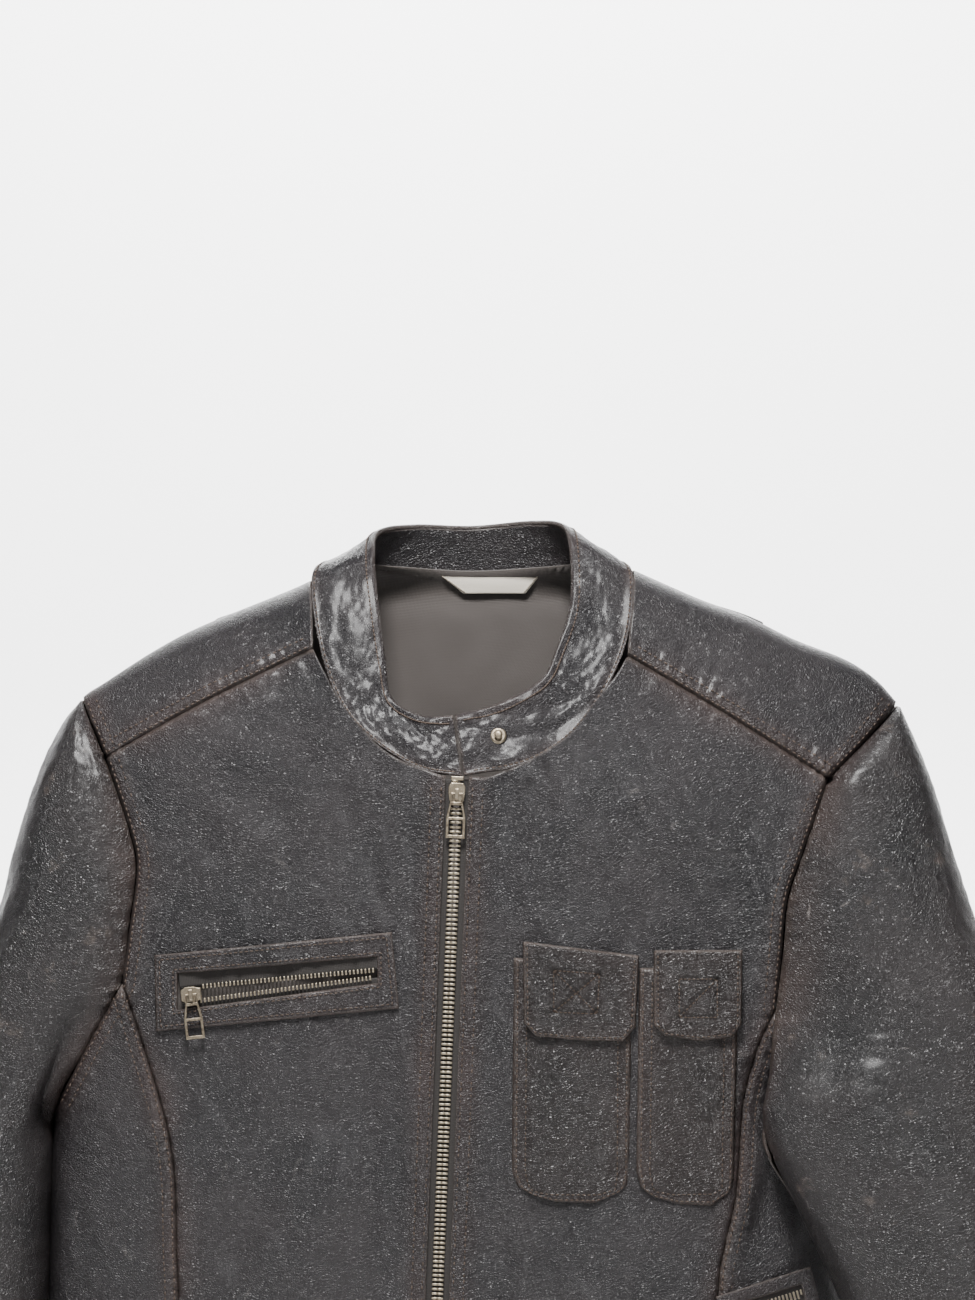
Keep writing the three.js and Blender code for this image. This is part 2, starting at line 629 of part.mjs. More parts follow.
// A flat pull: an eye round the bail, a neck, and a wide window near the free end.
function addPull(name, frame, face, length, width) {
  const hw = width / 2;
  const start = -0.6;
  const out = face + (bailGap - pullThick) / 2;
  const as = [start, start + 1.2, start + 5, start + 6.8, start + length * 0.52,
    start + length * 0.52 + 1.8, start + length - 2.2, start + length];
  const bs = [-hw, -hw + 1.9, -1.5, 1.5, hw - 1.9, hw];
  add(name, cellSolid(frame, as, bs, [out, out + pullThick], (a, b) => {
    const w = Math.abs(b);
    if (a < as[1]) return w < bs[4];
    if (a < as[2]) return w > 1.5 && w < bs[4];
    if (a < as[3]) return true;
    if (a < as[4] || within(a, as[5], as[6])) return w > bs[4];
    return true;
  }), brass());
}

const faceY = midY - frontDepth;       // the flat middle of the chest
const mainLine = new THREE.Vector3(-zipSlope * kx, 0, -kz).normalize();
const outwards = new THREE.Vector3(0, -1, 0);
// Right-handed frame with t along, n out of the face and b across.
function faceFrame(point, t, n) {
  const along = t.clone().normalize();
  const across = new THREE.Vector3().crossVectors(n, along).normalize();
  const out = new THREE.Vector3().crossVectors(along, across).normalize();
  return { point, t: along, b: across, n: out };
}

function bar(frame, a0, a1, b0, b1, c0, c1) {
  return cellSolid(frame, [a0, a1], [b0, b1], [c0, c1], () => true);
}
// A bar whose two ends lie at different distances across the frame.
function slantBar(frame, ends, width, c0, c1) {
  const corner = (e, w, c) => frame.point.clone().addScaledVector(frame.t, ends[e][0])
    .addScaledVector(frame.b, ends[e][1] + w).addScaledVector(frame.n, c);
  const points = [];
  [0, 1].forEach((e) => [0, 1].forEach((w) => [c0, c1].forEach((c) => {
    const wide = Array.isArray(width) ? width[e] : width;
    points.push(corner(e, w * wide, c));
  })));
  const quads = [[0, 1, 3, 2], [4, 6, 7, 5], [0, 4, 5, 1], [2, 3, 7, 6], [0, 2, 6, 4],
    [1, 5, 7, 3]];
  return solidFrom(points, quads);
}

function mainZip() {
  const top = new THREE.Vector3(zipTop[0] * kx, faceY, zipTop[1] * kz);
  const f = faceFrame(top, mainLine, outwards);
  const end = 446 * kz;
  const out = -1.4;
  const edge = tapeHalf * kx + 7;
  [['right', 1], ['left', -1]].forEach(([label, s]) => {
    const inner = slot / 2;
    const outer = inner + mainToothRow;
    const span = (a, b) => (s > 0 ? [a, b] : [-b, -a]);
    add(`main_zip_teeth_${label}`, bar(f, 1, end, ...span(inner, outer), out - toothHeight / 2,
      out + toothHeight / 2), brass());
    add(`main_zip_tape_${label}`, bar(f, 0, end, ...span(outer + 0.3, edge), out - 0.75,
      out - 0.35), tapeCloth());
  });
  add('main_zip_top_stop', bar(f, -1.6, 0.5, -3.4, 3.4, out - 0.2, out + 0.9), brass());
  add('main_zip_pin_box', bar(f, end + 0.4, end + 9, -4.6, 4.6, out - 1.1, out + 1.3), brass());
  const at = top.clone().addScaledVector(mainLine, 8);
  const s = faceFrame(at, mainLine, outwards);
  const face = addSlider('main_zip_slider', s, [12, 9.4], [3.8, post], out);
  addPull('main_zip_pull', s, face, 25, 10.6);
}

// ---- pockets ----
// A closed leather ring round a window, laid on the front of the torso.
function frameRing(name, outerCorners, innerCorners, place, lift) {
  const n = outerCorners.length;
  const steps = 6;
  const around = [];
  for (let i = 0; i < n; i += 1) {
    for (let k = 0; k < steps; k += 1) around.push((i + k / steps) / n);
  }
  around.push(1);
  const pick = (corners, s) => {
    const v = clamp(s, 0, 0.9995) * n;
    const i = Math.floor(v);
    const a = corners[i % n];
    const b = corners[(i + 1) % n];
    return [mix(a[0], b[0], v - i), mix(a[1], b[1], v - i)];
  };
  const flat = (s, t) => {
    const o = pick(outerCorners, s);
    const i = pick(innerCorners, s);
    return place([mix(o[0], i[0], t) * kx, mix(o[1], i[1], t) * kz]);
  };
  const lifted = (s, t) => {
    const p = flat(s, t);
    return p.add(new THREE.Vector3(0, -lift - leather, 0));
  };
  // the ring is cut once, at its first corner, so that it stays a simple sheet
  const ss = around.map((s) => mix(0.001, 0.999, s));
  add(name, sheetGeometry(ss, [0, 0.5, 1], lifted, -leather), black());
}

const chestZipEnds = [[-163, -232.4], [-64, -221]];
function chestPocket() {
  frameRing('chest_pocket_frame', [[-185, -211], [-54, -198], [-50, -240], [-184, -253]],
    [[-172, -221], [-62, -211.5], [-62, -226], [-172, -241]], onFront, layerGap);
  const [a, b] = chestZipEnds.map(([x, z]) => onFront([x * kx, z * kz]));
  const along = b.clone().sub(a).normalize();
  const n = new THREE.Vector3(along.y, -along.x, 0).normalize();
  const f = faceFrame(a, along, n);
  const length = b.distanceTo(a);
  const out = 0.8;
  const w = smallToothRow;
  [['upper', 1, 0], ['lower', -1, 0]].forEach(([label, s]) => {
    const near = (d) => (s > 0 ? d : -d - w);
    add(`chest_zip_teeth_${label}`, slantBar(f, [[4, near(2.9)], [length, near(0.9)]], w,
      out - toothHeight / 2, out + toothHeight / 2), brass());
    const reach = 8.6;
    const t0 = 2.9 + w + 0.3;
    const t1 = 0.9 + w + 0.3;
    const ends = s > 0 ? [[2, t0], [length + 2, t1]] : [[2, -reach], [length + 2, -reach]];
    add(`chest_zip_tape_${label}`, slantBar(f, ends, [reach - t0, reach - t1], -0.45, -0.05),
      tapeCloth());
  });
  const down = new THREE.Vector3().crossVectors(f.n, f.t).negate().normalize();
  const s = faceFrame(a.clone().addScaledVector(along, -1.5), down, f.n);
  const face = addSlider('chest_zip_slider', s, [8.6, 11], [post, 3.8], out);
  addPull('chest_zip_pull', s, face, 23, 9.6);
}

function patchPocket(label, top, bottom, left, right, flap) {
  panel(`${label}_pocket_body`, [top, bottom, left, right].map((e) => pattern(...e)), onFront,
    black(), { flip: true, lift: leather + 2 * layerGap, steps: [6, 8], edgeGap: 0 });
  panel(`${label}_pocket_flap`, flap.map((e) => pattern(...e)), onFront, black(),
    { flip: true, lift: 2 * leather + 3.4 * layerGap, steps: [6, 4], edgeGap: 0 });
}

function patchPockets() {
  patchPocket('inner', [[13, -212], [78, -219]], [[24, -343], [36, -346.5], [58, -347], [70, -342]],
    [[13, -212], [12, -330], [15, -338], [24, -343]],
    [[78, -219], [77, -330], [75, -338], [70, -342]],
    [[[18, -203], [82, -211]], [[25, -255], [50, -257.5], [73, -258]],
      [[18, -203], [18.5, -248], [25, -255]], [[82, -211], [80, -250], [73, -258]]]);
  patchPocket('outer', [[82, -218], [137, -216]], [[90, -344], [104, -348], [122, -349], [131, -343]],
    [[82, -218], [80.5, -330], [83, -339], [90, -344]],
    [[137, -216], [134.5, -330], [134, -338], [131, -343]],
    [[[90, -208], [139, -208]], [[96, -255], [115, -258], [133, -256]],
      [[90, -208], [90, -249], [96, -255]], [[139, -208], [138.5, -249], [133, -256]]]);
}

function lowerPocket(label, side, ends) {
  const angle = ([x, z]) => roundSide(side, [sideAngle(x, z, true), z]);
  const [a, b] = ends.map(([x, z]) => angle([x * kx, z * kz]));
  const along = b.clone().sub(a).normalize();
  const up = new THREE.Vector3(0, 0, 1);
  const n = new THREE.Vector3().crossVectors(along, up).normalize();
  if (n.y > 0) n.negate();
  const f = faceFrame(a, along, n);
  const length = b.distanceTo(a);
  const lift = 2.7 - (kx - 1);  // the straight zip lies over the bulge of the hip
  const w = 13;
  add(`lower_pocket_welt_${label}`, cellSolid(f, [-8, 0, length, length + 8],
    [-w, -5, 5, w], [lift, lift + leather], (s, t) => Math.abs(t) > 5 || s < 0 || s > length),
  black());
  const out = lift + leather / 2;
  add(`lower_zip_tape_${label}`, bar(f, -4, length + 4, -8, 8, lift - 0.9, lift - 0.5),
    tapeCloth());
  add(`lower_zip_teeth_${label}`, bar(f, 1, length - 1, -2.6, 2.6, lift - 0.2, lift + 1), brass());
  const down = new THREE.Vector3().crossVectors(f.n, f.t).normalize();
  if (down.z > 0) down.negate();
  const s = faceFrame(a.clone().addScaledVector(along, 8), down, f.n);
  const base = out + 0.7;
  const hold = cellSolid(s, [-4, -3.2, 2.2, 3.2, 4], [-5, -1.1, 1.1, 5],
    [base, base + plate, base + plate + bailGap, base + plate + bailGap + 0.9],
    (p, q, r) => {
      if (r < base + plate) return true;
      if (Math.abs(q) > 1.1) return false;
      if (r < base + plate + bailGap) return within(p, 2.2, 3.2);
      return within(p, -3.2, 3.2);
    });
  add(`lower_zip_slider_${label}`, hold, brass());
  addPull(`lower_zip_pull_${label}`, s, base + plate, 23, 9.6);
}

// ---- linings, label and snap ----
function linings() {
  // the lining hangs free of the shell and is sewn to it along the hem
  const deep = (t) => -(leather + mix(3, 0.6, smooth(0.86, 1, t)));
  const hem = -556;
  panel('lining_back', [
    pattern([-186, -62], [-104, -22], [-60, -14], [0, -12], [50, -12], [84, -22], [150, -54],
      [178, -68]),
    pattern([-160, hem], [110, hem]),
    pattern([-186, -62], [-186, -200], [-166, -300], [-160, hem]),
    pattern([178, -68], [146, -200], [120, -300], [110, hem]),
  ], onBack, cloth(), { thick: lining, lift: deep, steps: [8, 9] });
  panel('lining_front_right', [
    pattern([-184, -116], [-110, -88], [-60, -124]), pattern([-160, hem], [-62, hem]),
    pattern([-184, -116], [-186, -200], [-166, -300], [-160, hem]),
    pattern([-60, -124], [-62, hem]),
  ], onFront, cloth(), { thick: lining, lift: deep, flip: true, steps: [6, 9] });
  panel('lining_front_left', [
    pattern([26, -124], [84, -90], [158, -122]), pattern([16, hem], [110, hem]),
    pattern([26, -124], [16, hem]),
    pattern([158, -122], [146, -200], [120, -300], [110, hem]),
  ], onFront, cloth(), { thick: lining, lift: deep, flip: true, steps: [6, 9] });
  panel('zip_facing_right', [
    pattern([-58, -112], [-40, -114]), pattern([-60, hem - 8], [-56, hem - 8]),
    pattern([-58, -112], [-60, hem - 8]), pattern([-40, -114], [-56, hem - 8]),
  ], onFront, black(), { lift: deep, flip: true, steps: [3, 8] });
  panel('zip_facing_left', [
    pattern([4, -116], [24, -114]), pattern([-14, hem - 8], [14, hem - 8]),
    pattern([4, -116], [-14, hem - 8]), pattern([24, -114], [14, hem - 8]),
  ], onFront, black(), { lift: deep, flip: true, steps: [3, 8] });
}

function label() {
  const shape = [[-29, 0], [29, 0], [20, -11], [-15, -11]];
  // it lies against the collar's inner layer, whose face moves with the leather
  const face = 2 * (1.2 - leather);
  const top = shape.map(([x, z]) => new THREE.Vector3(x, face - 0.25, z));
  const back = shape.map(([x, z]) => new THREE.Vector3(x, face + 0.25, z));
  const quads = [[0, 1, 2, 3], [7, 6, 5, 4], [0, 4, 5, 1], [1, 5, 6, 2], [2, 6, 7, 3],
    [3, 7, 4, 0]];
  add('hang_loop_label', solidFrom([...top, ...back], quads), cream());
}

function snap() {
  const p = collarPoint(0.955, 0.55, 0);
  const q = collarPoint(0.975, 0.55, 0);
  const r = collarPoint(0.955, 0.35, 0);
  const n = q.clone().sub(p).cross(r.clone().sub(p)).normalize();
  if (n.y > 0) n.negate();
  const at = p.clone().addScaledVector(n, leather + 0.5);
  const turn = new THREE.Quaternion().setFromUnitVectors(new THREE.Vector3(0, 1, 0), n);
  const lathe = [[0, 0], [4.6, 0], [4.6, 0.5], [3.4, 1], [2, 0.8], [1.9, 1.6], [2.3, 2.4],
    [1.6, 3.1], [0, 3.3]];
  const g = new THREE.LatheGeometry(lathe.map(([x, y]) => new THREE.Vector2(x, y)), 16);
  g.applyQuaternion(turn);
  g.translate(at.x, at.y, at.z);
  add('snap_stud', g, brass());
}

frontPanels();
sidePanel('side_panel_right', -1, princessR, pitR);
sidePanel('side_panel_left', 1, princessL, pitL);
backPanels();
yoke('yoke_right', -1, yokeCornerR, [-213, -102], -226, [-101, [-74, -2], [-44, -8]]);
yoke('yoke_left', 1, yokeCornerL, [187, -114], 224, [81, [56, -2], [28, -8]]);
sleeve(-1, 'right', rowsR);
sleeve(1, 'left', rowsL);
collar();
mainZip();
chestPocket();
patchPockets();
lowerPocket('left', 1, [[134, -409], [172, -398]]);
lowerPocket('right', -1, [[-186, -432], [-220, -420]]);
linings();
label();
snap();

export default jacket;
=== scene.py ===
import math

import bmesh
import bpy
import numpy as np
from mathutils import Matrix, Vector


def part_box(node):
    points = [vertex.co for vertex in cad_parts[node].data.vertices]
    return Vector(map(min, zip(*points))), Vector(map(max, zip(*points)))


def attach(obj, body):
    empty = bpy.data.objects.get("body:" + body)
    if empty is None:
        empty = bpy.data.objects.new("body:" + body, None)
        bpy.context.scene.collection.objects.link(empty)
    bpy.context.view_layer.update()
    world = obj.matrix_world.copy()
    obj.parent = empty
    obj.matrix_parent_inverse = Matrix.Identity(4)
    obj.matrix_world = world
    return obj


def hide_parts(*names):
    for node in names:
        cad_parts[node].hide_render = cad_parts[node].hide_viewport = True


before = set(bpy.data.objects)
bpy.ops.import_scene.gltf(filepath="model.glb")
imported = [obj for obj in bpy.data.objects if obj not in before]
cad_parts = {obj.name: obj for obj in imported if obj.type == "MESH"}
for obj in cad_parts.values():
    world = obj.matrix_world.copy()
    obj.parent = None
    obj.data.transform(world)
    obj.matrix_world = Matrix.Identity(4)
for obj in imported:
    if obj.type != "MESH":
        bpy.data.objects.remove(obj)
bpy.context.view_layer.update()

MM = 0.001
ROOT = "jacket"


def node_box(name):
    """A solid's box in millimetres, lowest and highest corner."""
    low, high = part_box(name)
    return np.array(low) / MM, np.array(high) / MM


# ---- overall measures, taken from the solids ----
FACE_Y = node_box("front_panel_left")[0][1]
BACK_Y = node_box("back_panel_left")[1][1]
DEPTH = BACK_Y - FACE_Y
FRONT_DEPTH = DEPTH * 0.525
BACK_DEPTH = DEPTH * 0.475
MID_Y = FACE_Y + FRONT_DEPTH
CENTRE_X = -15.0
SQUARE = 3.2
FRONT_FALL = 140.0
HEM_Z = -570.0
LEATHER = 1.2
ZIP_TOP = (-18.0, -114.0)
ZIP_SLOPE = 11 / 284
TAPE_HALF = 6.5
BAND = 8.5
STITCH_ROWS = (2.0, 7.0)
ZIP_STITCH_ROWS = (8.6, 14.2)
YOKE_BACK_FALL = 90.0
BACK_MID_X = -10
WAVE = 6.283


# ---- curves ----
def catmull(points, where):
    """Values of a smooth curve through rows of numbers, at fractional row places."""
    p = np.array(points, float)
    ends = np.vstack([2 * p[0] - p[1], p, 2 * p[-1] - p[-2]])
    i = np.clip(np.floor(where).astype(int), 0, len(p) - 2)
    f = (where - i)[:, None]
    a, b, c, d = ends[i], ends[i + 1], ends[i + 2], ends[i + 3]
    return 0.5 * (2 * b + (c - a) * f + (2 * a - 5 * b + 4 * c - d) * f ** 2
                  + (3 * b - a - 3 * c + d) * f ** 3)


def spline(points, n=240):
    """A smooth line through the points, evenly stepped."""
    p = np.array(points, float)
    if len(p) == 2:
        return p[0] + (p[1] - p[0]) * np.linspace(0, 1, n)[:, None]
    return even(catmull(p, np.linspace(0, len(p) - 1, n * 3)), n)


def even(q, n):
    run = np.concatenate([[0], np.cumsum(np.linalg.norm(np.diff(q, axis=0), axis=1))])
    t = np.linspace(0, run[-1], n)
    return np.stack([np.interp(t, run, q[:, k]) for k in range(q.shape[1])], axis=1)


def joined(*parts):
    """Smooth runs that meet at corners, as one line."""
    rows = [spline(p) for p in parts]
    return np.vstack([rows[0]] + [r[1:] for r in rows[1:]])


def along(q, t):
    run = np.concatenate([[0], np.cumsum(np.linalg.norm(np.diff(q, axis=0), axis=1))])
    d = np.asarray(t) * run[-1]
    return np.stack([np.interp(d, run, q[:, k]) for k in range(q.shape[1])], axis=-1)


def length_of(q):
    return float(np.linalg.norm(np.diff(q, axis=0), axis=1).sum())


def smooth(a, b, v):
    t = np.clip((v - a) / (b - a), 0, 1)
    return t * t * (3 - 2 * t)


def mix(a, b, t):
    return a + (b - a) * t


# ---- torso shape ----
RIDGE = spline([(-240, -84), (-227, -69), (-215, -61), (-187, -43), (-160, -29), (-104, -6),
                (-80, 8), (-45, 14), (0, 16), (35, 14), (60, 8), (77, 3), (116, -14),
                (143, -24), (170, -37), (198, -48), (215, -59), (227, -72), (240, -87)])
LEFT_HALF = spline([(-570, 235), (-480, 233), (-400, 231), (-330, 229.5), (-296, 228), (-262, 234),
                    (-226, 242), (-160, 246), (-103, 240), (-60, 234)])
RIGHT_HALF = spline([(-570, 226), (-480, 222), (-400, 212), (-330, 190), (-296, 190), (-262, 208),
                     (-226, 230), (-160, 250), (-103, 256), (-60, 254)])


def ridge_z(x):
    return np.interp(x, RIDGE[:, 0], RIDGE[:, 1])


def half_width(x, z):
    left = np.interp(z, LEFT_HALF[:, 0], LEFT_HALF[:, 1])
    right = np.interp(z, RIGHT_HALF[:, 0], RIGHT_HALF[:, 1])
    return np.where(x < CENTRE_X, left, right)


def bulge(x, z):
    u = np.clip(np.abs(x - CENTRE_X) / half_width(x, z), 0, 1)
    return (1 - u ** SQUARE) ** (1 / SQUARE)


def crown(x, z, fall):
    v = np.clip((ridge_z(x) - z) / fall, 0, 1)
    return np.sqrt(np.maximum(0, 1 - (1 - v) ** 2))


def back_fall(x):
    """The back rounds off in a shorter height behind the neck than on the shoulders."""
    return 28 + 62 * smooth(50, 140, np.abs(x - BACK_MID_X))


# ---- random but repeatable roughness ----
def lattice(ix, iy, seed):
    h = (ix * 374761393 + iy * 668265263 + seed * 2246822519) & 0xFFFFFFFF
    h = ((h ^ (h >> 13)) * 1274126177) & 0xFFFFFFFF
    return ((h ^ (h >> 16)) & 0xFFFF) / 32767.5 - 1


def noise(x, y, seed=0):
    """Smooth noise between -1 and 1, with a cell of 1."""
    x = np.asarray(x, float)
    y = np.asarray(y, float)
    ix, iy = np.floor(x).astype(np.int64), np.floor(y).astype(np.int64)
    fx, fy = x - ix, y - iy
    fx, fy = fx * fx * fx * (fx * (fx * 6 - 15) + 10), fy * fy * fy * (fy * (fy * 6 - 15) + 10)
    a, b = lattice(ix, iy, seed), lattice(ix + 1, iy, seed)
    c, d = lattice(ix, iy + 1, seed), lattice(ix + 1, iy + 1, seed)
    return mix(mix(a, b, fx), mix(c, d, fx), fy)


def rumple(x, y, cell, seed, octaves=3):
    total = 0
    for k in range(octaves):
        total = total + noise(x / cell * 2 ** k + 17.3 * k, y / cell * 2 ** k - 9.1 * k,
                              seed + k) / 2 ** k
    return total


# ---- seams, in (x, z) ----
YOKE_R = [(-98, -42), (-155, -70), (-213, -102)]
YOKE_L = [(76, -46), (130, -78), (187, -114)]
NECK_R = [(-98, -42), (-91, -56), (-84, -69), (-67, -90), (-52, -102), (-29, -111)]
NECK_L = [(1, -112), (24, -102), (45, -88), (58, -71), (70, -56), (76, -46)]
ARM_R = [(-213, -102), (-199, -142), (-195, -164), (-199, -197), (-203, -227)]
ARM_L = [(187, -114), (173, -153), (164, -180), (161, -208), (158, -240)]
PRINCESS_R = [(-203, -227), (-191, -263), (-179, -303), (-174, -334), (-173, -374), (-172, -400),
              (-173, -480), (-174, HEM_Z)]
PRINCESS_L = [(158, -240), (148, -262), (140, -293), (136, -342), (130, -370), (126, -395),
              (124, -480), (124, HEM_Z)]
PIT_R = [(-203, -227), (-214, -246), (-224, -264), (-233, -281), (-241, -296)]
PIT_L = [(158, -240), (163, -256), (168, -272), (172.5, -288), (175, -298)]


def zip_x(z):
    return ZIP_TOP[0] - ZIP_SLOPE * (ZIP_TOP[1] - z)


def seam_distance(path, x, z):
    """Distance to a seam, its side, and how far along it lies, for arrays of points."""
    shape = np.shape(x)
    px, pz = np.ravel(x), np.ravel(z)
    best = np.full(px.shape, 1e9)
    side = np.zeros(px.shape)
    run = np.zeros(px.shape)
    step = path[::8] if len(path) > 160 else path
    if not np.allclose(step[-1], path[-1]):
        step = np.vstack([step, path[-1]])
    gone = 0.0
    for a, b in zip(step[:-1], step[1:]):
        d = b - a
        ll = float(np.dot(d, d))
        if ll < 1e-9:
            continue
        t = np.clip(((px - a[0]) * d[0] + (pz - a[1]) * d[1]) / ll, 0, 1)
        ex, ez = px - a[0] - t * d[0], pz - a[1] - t * d[1]
        dist = np.hypot(ex, ez)
        near = dist < best
        best = np.where(near, dist, best)
        side = np.where(near, np.sign(d[0] * ez - d[1] * ex), side)
        run = np.where(near, gone + t * math.sqrt(ll), run)
        gone += math.sqrt(ll)
    return best.reshape(shape), side.reshape(shape), run.reshape(shape)


# Each seam: its line, and the side of it that carries the doubled band.
SEAMS = {
    "yoke_right": (spline(YOKE_R), -1),
    "yoke_left": (spline(YOKE_L), 1),
    "arm_right": (joined(ARM_R, PIT_R), 1),
    "arm_left": (joined(ARM_L, PIT_L), -1),
    "cap_right": (spline([(-226, -72), (-221, -84), (-213, -102)]), 1),
    "cap_left": (spline([(225, -73), (209, -92), (187, -114)]), -1),
    "princess_right": (spline(PRINCESS_R), -1),
    "princess_left": (spline(PRINCESS_L), 1),
}
FRONT_ONLY = ("yoke_right", "yoke_left")

# Creases: start, end, width, height, all mm; height is + outwards.
FOLDS = [
    ((-74, -104), (-55, -202), 7, 2.2), ((-66, -110), (-49, -205), 5, -1.6),
    ((-51, -236), (-50, -400), 4, 1.6), ((-57, -240), (-57, -420), 5, -1.2),
    ((12, -352), (14, -470), 5, 1.2), ((-120, -262), (-150, -345), 9, 1.5),
    ((-100, -300), (-140, -395), 8, -1.5), ((-80, -320), (-110, -400), 10, 1.6),
    ((-160, -265), (-120, -330), 7, -1.0), ((-140, -350), (-90, -420), 9, 1.4),
    ((-188, -150), (-150, -168), 5, 1.0), ((-190, -170), (-140, -196), 6, -1.0),
    ((-170, -120), (-120, -160), 9, 1.1), ((-150, -90), (-100, -130), 10, 0.9),
    ((-192, -205), (-160, -206), 4, 0.9), ((40, -120), (20, -190), 10, 1.3),
    ((70, -110), (110, -190), 12, -1.0), ((100, -110), (140, -190), 9, 1.2),
    ((140, -140), (155, -200), 6, -1.2), ((120, -130), (160, -160), 6, 0.8),
    ((150, -250), (120, -300), 6, 1.2), ((150, -262), (110, -330), 5, -1.2),
    ((152, -290), (140, -360), 5, 1.3), ((165, -305), (150, -380), 6, -1.4),
    ((180, -330), (150, -400), 6, 1.5), ((30, -130), (14, -170), 6, 0.9),
    ((-40, -420), (-90, -520), 9, 1.8), ((60, -400), (20, -520), 11, 1.8),
    ((100, -380), (70, -500), 9, -1.6), ((-150, -420), (-120, -540), 10, 1.6),
]


def fold_height(x, z, folds):
    total = np.zeros(np.shape(x))
    for (x0, z0), (x1, z1), w, h in folds:
        d = np.array([x1 - x0, z1 - z0], float)
        ll = float(np.dot(d, d))
        t = ((x - x0) * d[0] + (z - z0) * d[1]) / ll
        bend = 0.05 * math.sqrt(ll) * np.sin(np.clip(t, 0, 1) * math.pi) * (1 if h > 0 else -1)
        across = ((x - x0) * -d[1] + (z - z0) * d[0]) / math.sqrt(ll) - bend
        across = across + 1.6 * noise(t * 5, x * 0 + h * 7, 5)
        ends = smooth(-0.12, 0.2, t) * (1 - smooth(0.7, 1.12, t))
        total = total + h * np.exp(-(across / w) ** 2) * ends
    return total


def seam_height(x, z, skip=()):
    """Valleys, doubled bands, stitch rows and puckers along every seam."""
    total = np.zeros(np.shape(x))
    for k, (key, (path, band_side)) in enumerate(SEAMS.items()):
        if key in skip:
            continue
        d, side, run = seam_distance(path, x, z)
        on = side == band_side
        total = total - 1.9 * np.exp(-(d / 1.5) ** 2)
        raised = np.where(on, smooth(0.2, 1.6, d) * (1 - smooth(BAND, BAND + 2.5, d)), 0)
        pucker = np.sin(run / 6.0 * 2 * math.pi + 3 * noise(run / 17, run * 0, 31 + k))
        strength = 0.55 + 0.45 * noise(run / 24, run * 0 + 3, 41 + k)
        total = total + raised * (1.0 + 0.62 * pucker * strength)
        rows = sum(np.exp(-((d - row) / 0.8) ** 2) for row in STITCH_ROWS)
        total = total - np.where(on, 0.75 * rows, 0)
        tug = np.sin(run / 11 * 2 * math.pi + 5 * noise(run / 31, run * 0 + 8, 51 + k))
        fade = np.exp(-((d - BAND) / 9) ** 2) * (d > BAND) * on + np.exp(-(d / 9) ** 2) * ~on
        total = total + 0.5 * tug * fade
    return total


def zip_edge_height(x, z):
    """The stitched, puckered bands beside the main zip."""
    off = np.abs(x - zip_x(z))
    raised = smooth(TAPE_HALF - 1, TAPE_HALF + 1.2, off) * (1 - smooth(15.5, 17.5, off))
    pucker = np.sin(z / 4.6 * 2 * math.pi + 3 * noise(z / 19, off * 0, 71) + (x > zip_x(z)) * 1.3)
    rows = sum(np.exp(-((off - row) / 0.8) ** 2) for row in ZIP_STITCH_ROWS)
    below = smooth(-108, -118, z)
    return below * (raised * (0.9 + 0.5 * pucker) - 0.7 * rows)


def front_height(x, z):
    """How far the leather stands off the plain front shape."""
    h = 2.6 * rumple(x, z * 0.6, 85, 3, 2)
    h = h + 1.1 * rumple(x * 1.1, z * 0.6, 30, 9, 2) + 0.26 * rumple(x, z, 10, 14, 3)
    bend = 7 * noise(x / 34, z / 34, 19)
    ridges = 1 - np.abs(noise((x + 0.5 * z + bend) / 17, (z - 0.3 * x) / 60, 21))
    h = h + 1.1 * ridges ** 5 * smooth(0.0, 0.7, noise(x / 70, z / 80, 22) + 0.25)
    h = h + 1.35 * fold_height(x, z, FOLDS)
    h = h * smooth(8, 26, np.abs(x - zip_x(z))) + zip_edge_height(x, z) + seam_height(x, z)
    return h


def front_y(x, z, raised=True):
    base = MID_Y - FRONT_DEPTH * bulge(x, z) * crown(x, z, FRONT_FALL)
    if not raised:
        return base
    ease = smooth(0.1, 0.5, bulge(x, z)) * smooth(0.12, 0.85, crown(x, z, FRONT_FALL))
    return base - front_height(x, z) * ease


def back_y(x, z, raised=True):
    base = MID_Y + BACK_DEPTH * bulge(x, z) * crown(x, z, back_fall(x))
    if not raised:
        return base
    ease = smooth(0.1, 0.5, bulge(x, z)) * smooth(0.12, 0.85, crown(x, z, back_fall(x)))
    h = 2.2 * rumple(x, z * 0.6, 90, 23, 2) + 0.9 * rumple(x, z * 0.6, 30, 29, 2)
    h = h + 0.22 * rumple(x, z, 10, 34, 3) + seam_height(x, z, FRONT_ONLY)
    h = h + fold_height(x, z, BACK_FOLDS) + back_seam_height(x, z)
    return base + np.minimum(h, 2.4) * ease


BACK_FOLDS = [((-150, -120), (-110, -230), 12, 1.4), ((120, -120), (90, -240), 12, 1.3),
              ((-60, -380), (-90, -520), 12, 1.6), ((50, -360), (80, -520), 12, 1.6),
              ((-170, -300), (-110, -340), 8, 1.3), ((130, -300), (80, -340), 8, 1.3)]


def back_seam_line(x):
    return -96.6 - np.where(x < BACK_MID_X, 0.029, 0.0863) * np.abs(x - BACK_MID_X)


def back_seam_height(x, z):
    total = -1.1 * np.exp(-((x - BACK_MID_X) / 1.5) ** 2) * (z < -96)
    d = z - back_seam_line(x)
    band = smooth(0.2, 1.6, d) * (1 - smooth(BAND, BAND + 2.5, d))
    total = total - 1.1 * np.exp(-(d / 1.5) ** 2)
    return total + band * (0.8 + 0.25 * np.sin(x / 5.2 * WAVE + 2 * noise(x / 17, x * 0, 3)))


